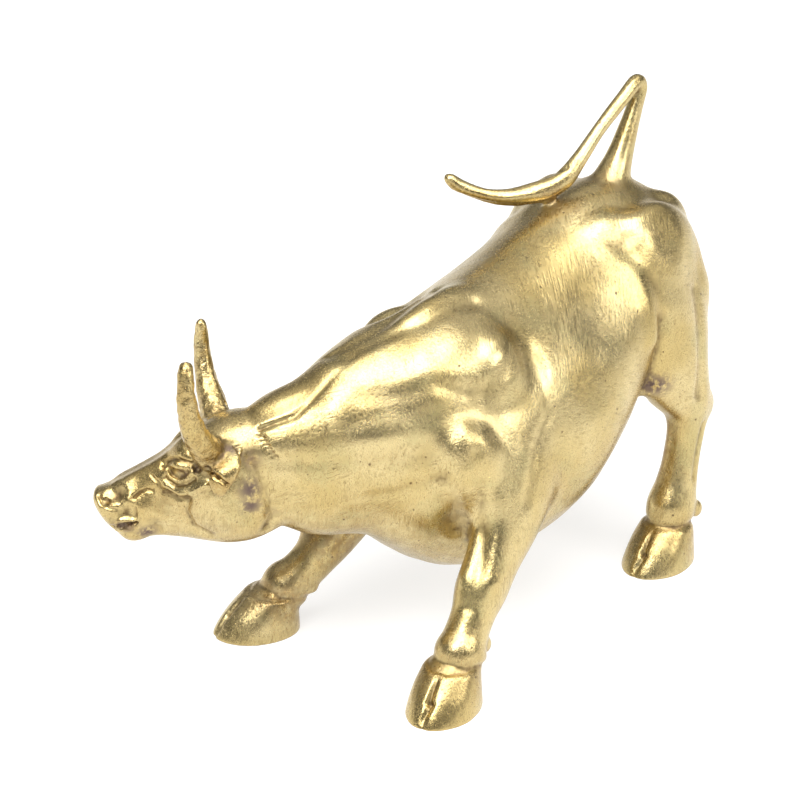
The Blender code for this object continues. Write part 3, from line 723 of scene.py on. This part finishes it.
for flip in (1, -1):
    for place, reach, height in FACE_SWELLS:
        (centre,) = clay.on_skin(on_head_side(flip, [place]))
        clay.swell(centre, reach, height)
    clay.face_out()
    for width, first, last, path in FACE_LINES:
        clay.stroke(width, first, last, on_head_side(flip, path))
    clay.stroke(*EAR_GROOVE, on_head_side(flip, EAR_FOLD))
    for i in range(HAIR_STROKES):
        root = np.array(HAIR_ROOT) + i * np.array(HAIR_ROOT_STEP)
        tip = np.array(HAIR_TIP) + i * np.array(HAIR_TIP_STEP)
        clay.stroke(*HAIR_GROOVE, on_head_side(flip, (root, tip)))
clay.face_out()

# The hooves are parted in front by a slit and set off by a groove round the crown, as a file cuts them.
# Then the whole skin gets the small unevenness of hand work, and the hooves are sawn flat to stand.
SLIT_WIDTH = 0.9
SLIT_DEPTH = 1.6
SLIT_END = 0.2
RIM_WIDTH = 1.2
RIM_DEPTH = 0.55
RIM_ROUND = 25
RIM_AHEAD = 1
RIM_LENGTH, RIM_BREADTH = 7.6, 7.8
RIM_HEIGHT = 14
HORN_REACH = 7.0
HORN_FADE = 1.5

# height and wave length of each layer of unevenness: over the whole skin, and on the horns
HAND_WORK = ((0.10, 11.0), (0.03, 3.5))
HORN_DENTS = ((0.3, 2.2),)
SKIN_TRIANGLES = 190000

rise = np.array([0.0, 0.0, 1.0])
for hoof in HOOVES:
    crown, to_toe, to_left = hoof_frame(hoof)
    toe = [
        crown + to_toe * (half_length - step) + rise * height
        for height, step, _, half_length in HOOF[1:6]
    ]
    clay.stroke(SLIT_WIDTH, 0.0, SLIT_DEPTH, toe[:3])
    clay.stroke(SLIT_WIDTH, SLIT_DEPTH, SLIT_END, toe[2:])
    rim = []
    for angle in np.linspace(0, 2 * math.pi, RIM_ROUND):
        forward = RIM_AHEAD + RIM_LENGTH * math.cos(angle)
        aside = RIM_BREADTH * math.sin(angle)
        rim.append(crown + to_toe * forward + to_left * aside + rise * (RIM_HEIGHT + math.cos(angle)))
    clay.stroke(RIM_WIDTH, RIM_DEPTH, RIM_DEPTH, rim)

on_head_places = (clay.points - POLL) @ np.column_stack([ahead, left, above])
horn_line = smooth_stations(HORN)[:, :3]


def share_of_horns(places):
    """1 on the horns and 0 elsewhere, from places on the head."""
    mirrored = places.copy()
    mirrored[:, 1] = abs(mirrored[:, 1])
    far = np.full(len(places), np.inf)
    for point in horn_line[STEPS_BETWEEN_STATIONS:]:
        far = np.minimum(far, np.linalg.norm(mirrored - point, axis=1))
    return np.clip((HORN_REACH - far) / HORN_FADE, 0, 1)


def roughen(layers, where):
    """Lifts and sinks the skin by layers of noise, each with its height and the size of its waves."""
    for height, size in layers:
        lift = np.array([noise.noise(Vector(point) / size) for point in clay.points])
        clay.points += clay.out * (lift * height * where)[:, None]


clay.face_out()
roughen(HAND_WORK, np.ones(len(clay.points)))
roughen(HORN_DENTS, share_of_horns(on_head_places))
clay.relax(1)
clay.write_back()

figure = bpy.data.objects.new("casting", clay.mesh)
bpy.context.scene.collection.objects.link(figure)
fewer = figure.modifiers.new("fewer", "DECIMATE")
fewer.ratio = min(1.0, SKIN_TRIANGLES / sum(len(face.vertices) - 2 for face in clay.mesh.polygons))
casting = evaluated_mesh(figure)
skin = bmesh.new()
skin.from_mesh(casting)
everything = skin.verts[:] + skin.edges[:] + skin.faces[:]
bmesh.ops.bisect_plane(skin, geom=everything, plane_co=(0, 0, 0), plane_no=(0, 0, -1), clear_outer=True)
bmesh.ops.holes_fill(skin, edges=[edge for edge in skin.edges if edge.is_boundary], sides=0)
skin.to_mesh(casting)
skin.free()

# The brass: poured bright, then filed and brushed by hand, so each part keeps the marks of its own strokes.
# Grime, brown patina and painted shade stay in the hollows, small casting pits all over, and the horns are
# left rough.
BRASS_BRIGHT = (0.60, 0.485, 0.245, 1.0)
BRASS_DEEP = (0.51, 0.39, 0.165, 1.0)
BRASS_OLIVE = (0.46, 0.40, 0.195, 1.0)
STROKE_SHADE = (0.34, 0.26, 0.115, 1.0)
TARNISH_AND_SHADE = (0.33, 0.205, 0.065, 1.0)
GRIME_AND_SHADE = (0.11, 0.065, 0.03, 1.0)
PATINA_AND_SHADE = (0.12, 0.082, 0.09, 1.0)

# How far each mark turns the brass to its own colour, from 0 to 1
OLIVE_SHARE = 0.5
STROKE_SHARE = 0.62
TARNISH_AND_SHADE_SHARE = 0.85
HOLLOW_SHADE_SHARE = 0.8
PATINA_AND_SHADE_SHARE = 0.92
HORN_TARNISH_SHARE = 0.33
HORN_PIT_SHARE = 0.4
CUT_SHARE = 0.35
PIT_SHARE = 0.85

# The clean brass's roughness, and what each mark adds to it
ROUGHNESS = 0.21
UNEVEN_ROUGHNESS = 0.12
STROKE_ROUGHNESS = 0.25
HORN_ROUGHNESS = -0.02
HOLLOW_ROUGHNESS = 0.20
STAIN_ROUGHNESS = 0.30
EDGE_ROUGHNESS = -0.06

# Depths in millimetres
UNEVEN_DEPTH = 0.10
STROKE_DEPTH = 0.17
FINE_DEPTH = 0.06
HORN_DEPTH = 0.45
CUT_DEPTH = 0.10

# place, reach, patina, tarnish: on both sides of the head, on both sides of the body, and on the off
# foreleg. The rows in the eyes, nostrils, mouth, armpits and under the neck are painted shade.
HEAD_STAINS_AND_SHADE = (
    ((6.5, 14.8, -23.5), (5, 6, 6), 1.0, 0.2),
    ((7.8, 14.5, -29), (4.5, 6, 5), 1.0, 0.2),
    ((4, 14, -14.5), (5, 5, 6), 0.6, 0.6),
    ((9, 16, -9), (4, 5, 5), 0.9, 0.4),
    ((2, 13, -35), (7, 7, 4), 0.5, 0.6),
    ((13, 20.5, -16), (8, 8, 10), 0.1, 1.0),
    ((15, 14.5, -10), (9, 9, 8), 0.5, 1.0),
    # Painted shade in the pupil's hollow and in the eye's inner corner.
    ((26.4, 11.9, -15.1), (2.4, 2.4, 2.2), 1.0, 1.0),
    ((20.9, 13.6, -13.8), (3, 3, 2.5), 1.0, 0.8),
    ((30, 0, -20), (44, 30, 40), 0.0, 0.5),
    # Painted shade in the nostril and along the mouth.
    ((50, 8, -18), (6, 6, 6), 0.2, 0.8),
    ((49, 7.5, -28.5), (7, 7, 3.5), 0.7, 0.8),
    ((43, 6, -32.5), (5, 5, 3.5), 1.0, 0.2),
)
BODY_STAINS_AND_SHADE = (
    ((34, 48, 68.5), (8, 10, 6.5), 1.0, 0.6),
    ((28, 63, 38), (9, 11, 26), 0.2, 1.0),
    # Painted shade in the armpit.
    ((28, -47, 54), (5, 5.5, 13), 0.3, 0.9),
    ((-4, 40, 129), (9, 8, 6), 0.4, 0.9),
    ((0, 62, 127), (12, 9, 7), 0.4, 0.8),
    ((-24, 26, 128), (12, 8, 6), 0.2, 0.6),
    ((0, 84, 96), (8, 10, 20), 0.3, 0.6),
    # Painted shade under the neck.
    ((8, -72, 55), (26, 18, 12), 0.0, 0.5),
)
FAR_LEG_STAINS = (
    ((-26, -44, 34), (20, 22, 26), 0.4, 1.0),
    ((-35, -60, 12), (18, 22, 18), 0.3, 1.0),
)

# place, reach of the painted shade in the corners of the eyes, the ears, the nostrils and the mouth
HEAD_HOLLOW_SHADES = (
    ((26.5, 11.8, -14.9), 1.7),
    ((20.9, 13.6, -13.8), 1.8),
    ((31.9, 8, -12.2), 1.5),
    ((16, 17.5, -12), 2.4),
    ((52, 8.2, -18.4), 1.7),
    ((49.5, 8, -28.3), 1.6),
    ((46.5, 8, -28.2), 1.5),
)

# The same as the stains above, from the middle of a hoof's crown
HOOF_TARNISH = ((0, 0, 9), (18, 18, 14), 0.25, 0.75)

# How deep a hollow is painted dark all through as shade, how sharp an edge is bright all over, and how the
# undersides are painted darker as shade
DEEP_HOLLOW = 0.24
SHARP_EDGE = 0.30
BLUR_ROUNDS = 6
SPREAD_ROUNDS = 3
UNDERSIDE_SHADE = 0.8
UNDERSIDE_SHADE_START = 0.05
UNDERSIDE_SHADE_MOST = 0.45

surface = Clay(casting)
own_middle = (surface.points.min(axis=0) + surface.points.max(axis=0)) / 2
# Painted shade: the hollows and creases, where the skin lies below its blurred copy, are found here and
# painted darker below.
blurred = surface.points
for _ in range(BLUR_ROUNDS):
    blurred = surface.middles(blurred)
depth = ((blurred - surface.points) * surface.out).sum(axis=1)
wide = depth[:, None]
for _ in range(SPREAD_ROUNDS):
    wide = surface.middles(wide)
starts, ends = surface.points[surface.ends[:, 0]], surface.points[surface.ends[:, 1]]
lengths = np.linalg.norm(starts - ends, axis=1)
spacing = np.bincount(surface.ends.ravel(), lengths.repeat(2), len(surface.points)) / surface.neighbours
wide = wide[:, 0] * (SKIN_VOXEL / spacing) ** 1.5
hollow_shade = np.clip(wide / DEEP_HOLLOW, 0, 1)
for flip in (1, -1):
    for place, reach in HEAD_HOLLOW_SHADES:
        (centre,) = surface.on_skin(on_head_side(flip, [place]))
        hollow_shade = np.maximum(hollow_shade, surface.near(centre, reach))
on_edge = np.clip(-wide / SHARP_EDGE, 0, 1)

x, y, z = surface.points.T
head_places = (surface.points - POLL) @ np.column_stack([ahead, left, above])
on_horns = share_of_horns(head_places)
on_neck = np.clip((-18 - y) / 26, 0, 1) * np.clip((z - 40) / 14, 0, 1)
on_legs = np.clip((58 - z) / 18, 0, 1) * np.clip((abs(x) - 14) / 9, 0, 1)
stain_and_shade_places = [(np.array(place), *rest) for place, *rest in BODY_STAINS_AND_SHADE + FAR_LEG_STAINS]
stain_and_shade_places += [(other_side(place), *rest) for place, *rest in BODY_STAINS_AND_SHADE]
for flip in (1, -1):
    for place, *rest in HEAD_STAINS_AND_SHADE:
        stain_and_shade_places.append((on_head_side(flip, [place])[0], *rest))
for hoof in HOOVES:
    crown, _, _ = hoof_frame(hoof)
    place, *rest = HOOF_TARNISH
    stain_and_shade_places.append((crown + np.array(place), *rest))
patina_and_shade = np.zeros(len(surface.points))
tarnish_and_shade = np.zeros(len(surface.points))
for place, reach, share, brown in stain_and_shade_places:
    close = surface.near(place, reach)
    patina_and_shade = np.maximum(patina_and_shade, close * share)
    tarnish_and_shade = np.maximum(tarnish_and_shade, close * brown)
# Painted shade: the undersides are painted darker the more they face down.
underside_shade = -UNDERSIDE_SHADE * surface.out[:, 2] - UNDERSIDE_SHADE_START
tarnish_and_shade = np.maximum(tarnish_and_shade, np.clip(underside_shade, 0, UNDERSIDE_SHADE_MOST))
for name, values in (
    ("hollow_shade", hollow_shade),
    ("on_edge", on_edge),
    ("on_horns", on_horns),
    ("on_neck", on_neck),
    ("on_legs", on_legs),
    ("patina_and_shade", patina_and_shade),
    ("tarnish_and_shade", tarnish_and_shade),
):
    casting.attributes.new(name, "FLOAT", "POINT").data.foreach_set("value", values.astype(np.float32))

metal = bpy.data.materials.new("filed_brass")
metal.use_nodes = True
nodes = metal.node_tree.nodes
shader = nodes["Principled BSDF"]
shader.inputs["Metallic"].default_value = 1.0


def wire(source, socket):
    """Joins one node's output to another's input, or sets the input to a plain value."""
    if isinstance(source, bpy.types.NodeSocket):
        metal.node_tree.links.new(source, socket)
    else:
        socket.default_value = source


def worked_out(operation, first, second=0.0, third=0.0):
    node = nodes.new("ShaderNodeMath")
    node.operation = operation
    for socket, source in zip(node.inputs, (first, second, third)):
        wire(source, socket)
    return node.outputs[0]


def share_between(value, low, high):
    """0 below low, 1 above high, and smooth in between."""
    node = nodes.new("ShaderNodeMapRange")
    node.interpolation_type = "SMOOTHSTEP"
    for name, source in (("Value", value), ("From Min", low), ("From Max", high)):
        wire(source, node.inputs[name])
    return node.outputs["Result"]


def blended(share, colour, other):
    node = nodes.new("ShaderNodeMix")
    node.data_type = "RGBA"
    for socket, source in ((node.inputs[0], share), (node.inputs[6], colour), (node.inputs[7], other)):
        wire(source, socket)
    return node.outputs[2]


def marked(name):
    node = nodes.new("ShaderNodeAttribute")
    node.attribute_name = name
    return node.outputs["Fac"]


place_node = nodes.new("ShaderNodeTexCoord").outputs["Object"]


def grain(size, detail=2.0, rough=0.5, stretch=(1, 1, 1), turn=(0, 0, 0), warp=0.0):
    """Noise whose waves are about that size in millimetres, drawn out along its turned X by the stretch."""
    turned_node = nodes.new("ShaderNodeVectorRotate")
    turned_node.rotation_type = "EULER_XYZ"
    turned_node.inputs["Rotation"].default_value = [math.radians(angle) for angle in turn]
    wire(place_node, turned_node.inputs["Vector"])
    scaled = nodes.new("ShaderNodeVectorMath")
    scaled.operation = "MULTIPLY"
    wire(turned_node.outputs[0], scaled.inputs[0])
    scaled.inputs[1].default_value = [1 / (size * MM * way) for way in stretch]
    texture = nodes.new("ShaderNodeTexNoise")
    wire(scaled.outputs[0], texture.inputs["Vector"])
    texture.inputs["Scale"].default_value = 1.0
    texture.inputs["Detail"].default_value = detail
    texture.inputs["Roughness"].default_value = rough
    texture.inputs["Distortion"].default_value = warp
    return texture.outputs["Fac"]


def pitting(size, share, seed):
    """Scattered round pits: 1 inside a pit. The share says how many cells hold one."""
    shifted = nodes.new("ShaderNodeVectorMath")
    shifted.operation = "MULTIPLY_ADD"
    wire(place_node, shifted.inputs[0])
    shifted.inputs[1].default_value = (1 / (size * MM),) * 3
    shifted.inputs[2].default_value = (seed, seed * 1.7, seed * 0.6)
    cells = nodes.new("ShaderNodeTexVoronoi")
    wire(shifted.outputs[0], cells.inputs["Vector"])
    cells.inputs["Scale"].default_value = 1.0
    parts = nodes.new("ShaderNodeSeparateColor")
    wire(cells.outputs["Color"], parts.inputs[0])
    chosen = worked_out("LESS_THAN", parts.outputs[0], share)
    reach = worked_out("MULTIPLY_ADD", parts.outputs[1], 0.16, 0.08)
    inside = share_between(worked_out("DIVIDE", cells.outputs["Distance"], reach), 1.0, 0.4)
    return worked_out("MULTIPLY", inside, chosen)


# Strokes of the file: round the neck, slanting over the body, and down the legs
neck_marks = grain(0.9, 4.0, 0.65, stretch=(9, 1, 1), turn=(0, 68, 20), warp=0.25)
neck_cross = grain(0.8, 4.0, 0.65, stretch=(10, 1, 1), turn=(0, 20, -35), warp=0.2)
body_marks = grain(0.95, 4.0, 0.65, stretch=(11, 1, 1), turn=(10, 38, 70), warp=0.25)
body_cross = grain(0.85, 4.0, 0.65, stretch=(12, 1, 1), turn=(-15, -30, 40), warp=0.2)
leg_marks = grain(0.85, 4.0, 0.65, stretch=(9, 1, 1), turn=(0, 80, 0), warp=0.25)
neck_share = share_between(worked_out("MULTIPLY_ADD", grain(14), 0.6, marked("on_neck")), 0.55, 0.85)
leg_share = share_between(worked_out("MULTIPLY_ADD", grain(9), 0.5, marked("on_legs")), 0.45, 0.8)


def mixed(share, first, second):
    node = nodes.new("ShaderNodeMix")
    for socket, source in ((node.inputs[0], share), (node.inputs[2], first), (node.inputs[3], second)):
        wire(source, socket)
    return node.outputs[0]


marks = mixed(neck_share, mixed(share_between(grain(17), 0.4, 0.6), body_marks, body_cross), neck_marks)
marks = mixed(worked_out("MULTIPLY", neck_share, share_between(grain(11), 0.52, 0.62)), marks, neck_cross)
marks = mixed(leg_share, marks, leg_marks)
marks_strength = share_between(grain(8, 3.0), 0.25, 0.7)

# Pits, scratches and the short nicks of the tools, in clusters
pits = worked_out("MAXIMUM", pitting(2.6, 0.12, 3.1), pitting(1.3, 0.08, 8.4))
scratch_lines = share_between(grain(0.24, 1.0, 0.4, stretch=(50, 1, 1), turn=(25, 12, 55)), 0.66, 0.73)
scratch_cross = share_between(grain(0.26, 1.0, 0.4, stretch=(40, 1, 1), turn=(-30, 50, -20)), 0.66, 0.74)
scratches = worked_out("MAXIMUM", scratch_lines, scratch_cross)
clusters = share_between(grain(11, 3.0, 0.6), 0.52, 0.66)
nick_lines = share_between(grain(0.5, 2.0, 0.5, stretch=(4, 1, 1), turn=(20, -35, 15)), 0.60, 0.68)
nicks = worked_out("MULTIPLY", nick_lines, clusters)
horn_share = marked("on_horns")
horn_grain = grain(2.2, 4.0, 0.55)
horn_pits = share_between(grain(0.75, 4.0, 0.7), 0.50, 0.40)
horn_patches = share_between(grain(3.2, 3.0, 0.6), 0.42, 0.62)

# Colour
tone = share_between(grain(24, 3.0), 0.35, 0.65)
colour = blended(tone, BRASS_BRIGHT, BRASS_DEEP)
olive = worked_out("MULTIPLY", share_between(grain(13, 3.0), 0.5, 0.7), OLIVE_SHARE)
colour = blended(olive, colour, BRASS_OLIVE)
# Painted shade: the valleys of the file strokes are darkened.
stroke_valley_shade = worked_out("MULTIPLY", share_between(marks, 0.54, 0.36), STROKE_SHARE)
colour = blended(worked_out("MULTIPLY", stroke_valley_shade, marks_strength), colour, STROKE_SHADE)
# Brown tarnish, and painted shade on the undersides, under the neck, in the armpits, the eyes, the nostrils
# and the mouth.
tarnish_and_shade_share = worked_out("MULTIPLY", marked("tarnish_and_shade"), share_between(grain(3.5, 4.0, 0.65), 0.30, 0.6))
colour = blended(worked_out("MULTIPLY", tarnish_and_shade_share, TARNISH_AND_SHADE_SHARE), colour, TARNISH_AND_SHADE)
horn_tint = worked_out("MULTIPLY", worked_out("MULTIPLY", horn_patches, HORN_TARNISH_SHARE), horn_share)
colour = blended(horn_tint, colour, TARNISH_AND_SHADE)
# Grime and painted shade in the hollows and creases.
hollow_shade_share = worked_out("MULTIPLY", marked("hollow_shade"), share_between(grain(2.2, 3.0, 0.6), 0.25, 0.6))
colour = blended(worked_out("MULTIPLY", hollow_shade_share, HOLLOW_SHADE_SHARE), colour, GRIME_AND_SHADE)
# Patina, and painted shade in the pupils, the eyes' inner corners, the nostrils, the mouth and the armpits.
patina_and_shade_share = worked_out("MULTIPLY", marked("patina_and_shade"), share_between(grain(2.4, 4.0, 0.65), 0.38, 0.54))
colour = blended(worked_out("MULTIPLY", patina_and_shade_share, PATINA_AND_SHADE_SHARE), colour, PATINA_AND_SHADE)
horn_dark = worked_out("MULTIPLY", worked_out("MULTIPLY", horn_pits, horn_share), HORN_PIT_SHARE)
colour = blended(horn_dark, colour, GRIME_AND_SHADE)
cut_share = worked_out("MULTIPLY", worked_out("MAXIMUM", nicks, scratches), CUT_SHARE)
colour = blended(cut_share, colour, GRIME_AND_SHADE)
colour = blended(worked_out("MULTIPLY", pits, PIT_SHARE), colour, GRIME_AND_SHADE)
wire(colour, shader.inputs["Base Color"])

# Roughness
roughness = worked_out("MULTIPLY_ADD", grain(6, 3.0), UNEVEN_ROUGHNESS, ROUGHNESS)
roughness = worked_out("MULTIPLY_ADD", worked_out("SUBTRACT", marks, 0.5), STROKE_ROUGHNESS, roughness)
roughness = worked_out("MULTIPLY_ADD", horn_share, HORN_ROUGHNESS, roughness)
roughness = worked_out("MULTIPLY_ADD", hollow_shade_share, HOLLOW_ROUGHNESS, roughness)
roughness = worked_out("MULTIPLY_ADD", patina_and_shade_share, STAIN_ROUGHNESS, roughness)
roughness = worked_out("MULTIPLY_ADD", marked("on_edge"), EDGE_ROUGHNESS, roughness)
wire(roughness, shader.inputs["Roughness"])


def bumped(height, depth, strength, under=None):
    """A bump of that depth in millimetres over another one."""
    node = nodes.new("ShaderNodeBump")
    node.inputs["Distance"].default_value = depth * MM
    wire(strength, node.inputs["Strength"])
    wire(height, node.inputs["Height"])
    if under is not None:
        wire(under, node.inputs["Normal"])
    return node.outputs["Normal"]


relief = bumped(grain(2.6, 3.0, 0.6), UNEVEN_DEPTH, 0.4)
relief = bumped(marks, STROKE_DEPTH, worked_out("MULTIPLY_ADD", marks_strength, 0.6, 0.4), relief)
relief = bumped(grain(0.6, 3.0, 0.6), FINE_DEPTH, worked_out("MULTIPLY_ADD", patina_and_shade_share, 0.7, 0.2), relief)
relief = bumped(horn_grain, HORN_DEPTH, horn_share, relief)
cuts = worked_out("MAXIMUM", worked_out("MAXIMUM", pits, nicks), scratches)
relief = bumped(worked_out("SUBTRACT", 1.0, cuts), CUT_DEPTH, 0.8, relief)
wire(relief, shader.inputs["Normal"])

casting.transform(Matrix.Scale(MM, 4) @ Matrix.Translation((-own_middle[0], -own_middle[1], 0)))
casting.shade_smooth()
casting.materials.clear()
casting.materials.append(metal)
brass_bull = bpy.data.objects.new("brass_bull", casting)
bpy.context.scene.collection.objects.link(brass_bull)
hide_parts("bull")
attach(brass_bull, "root")

# The studio: a pale floor that runs out of sight, and three soft lights over and beside the bull.
# The floor glows a little, which keeps the shadows faint, and the room is darker at the sides, which gives
# the metal its olive and brown reflections.
FLOOR_HALF = 6.0
FLOOR_COLOUR = (0.42, 0.42, 0.42, 1.0)
FLOOR_ROUGHNESS = 0.9
FLOOR_GLOW_COLOUR = (1.0, 1.0, 1.0, 1.0)
FLOOR_GLOW = 0.68
LIGHTS_AIM_HEIGHT = 0.08

# name, azimuth, elevation, distance, size, power: azimuth 0 is in front of the bull, and 90 on its left
SOFTBOXES = (
    ("overhead", 55, 74, 1.3, 1.2, 23),
    ("key", 10, 44, 1.4, 0.6, 9.5),
    ("side", 105, 30, 1.5, 0.7, 8),
)

# The room's brightness from the horizon up to straight overhead, and its tint
ROOM_TONES = ((0.0, 1.0), (0.09, 0.86), (0.2, 0.17), (0.48, 0.22), (0.7, 0.68), (1.0, 0.9))
ROOM_TINT = (1.0, 0.98, 0.95)

floor_mesh = bpy.data.meshes.new("floor")
corners = [(a * FLOOR_HALF, b * FLOOR_HALF, 0) for a, b in ((-1, -1), (1, -1), (1, 1), (-1, 1))]
floor_mesh.from_pydata(corners, [], [(0, 1, 2, 3)])
paint = bpy.data.materials.new("pale_floor")
paint.use_nodes = True
for name, value in (
    ("Base Color", FLOOR_COLOUR),
    ("Roughness", FLOOR_ROUGHNESS),
    ("Emission Color", FLOOR_GLOW_COLOUR),
    ("Emission Strength", FLOOR_GLOW),
):
    paint.node_tree.nodes["Principled BSDF"].inputs[name].default_value = value
floor_mesh.materials.append(paint)
floor = bpy.data.objects.new("floor", floor_mesh)
bpy.context.scene.collection.objects.link(floor)

for name, azimuth, elevation, distance, size, power in SOFTBOXES:
    a, e = math.radians(azimuth), math.radians(elevation)
    way = Vector((math.sin(a) * math.cos(e), -math.cos(a) * math.cos(e), math.sin(e)))
    lamp = bpy.data.lights.new(name, "AREA")
    lamp.shape = "SQUARE"
    lamp.size = size
    lamp.energy = power
    light = bpy.data.objects.new(name, lamp)
    light.location = way * distance + Vector((0, 0, LIGHTS_AIM_HEIGHT))
    light.rotation_euler = way.to_track_quat("Z", "Y").to_euler()
    bpy.context.scene.collection.objects.link(light)

world = bpy.data.worlds.new("studio")
bpy.context.scene.world = world
world.use_nodes = True
room = world.node_tree
background = room.nodes["Background"]
direction = room.nodes.new("ShaderNodeTexCoord")
parts = room.nodes.new("ShaderNodeSeparateXYZ")
ramp = room.nodes.new("ShaderNodeValToRGB")
while len(ramp.color_ramp.elements) < len(ROOM_TONES):
    ramp.color_ramp.elements.new(0.5)
for stop, (height, tone) in zip(ramp.color_ramp.elements, ROOM_TONES):
    stop.position = height
    stop.color = (*(tone * tint for tint in ROOM_TINT), 1.0)
room.links.new(direction.outputs["Generated"], parts.inputs[0])
room.links.new(parts.outputs["Z"], ramp.inputs["Fac"])
room.links.new(ramp.outputs["Color"], background.inputs["Color"])

# The camera stands ahead of the bull and to its left, and looks down on it. Its long lens, a metre away,
# keeps near and far parts in proportion.
CAMERA_AZIMUTH = math.radians(40)
CAMERA_ELEVATION = math.radians(25.5)
CAMERA_DISTANCE = 1.0
AIM = Vector((-0.0267, 0.0151, 0.060))
FOCAL_LENGTH = 135
SENSOR_WIDTH = 36

lens = bpy.data.cameras.new("camera")
lens.lens = FOCAL_LENGTH
lens.sensor_width = SENSOR_WIDTH
camera = bpy.data.objects.new("camera", lens)
level = math.cos(CAMERA_ELEVATION)
back = Vector(
    (math.sin(CAMERA_AZIMUTH) * level, -math.cos(CAMERA_AZIMUTH) * level, math.sin(CAMERA_ELEVATION))
)
camera.location = AIM + back * CAMERA_DISTANCE
camera.rotation_euler = back.to_track_quat("Z", "Y").to_euler()
bpy.context.scene.collection.objects.link(camera)
bpy.context.scene.camera = camera
bpy.context.scene.view_settings.view_transform = "Standard"
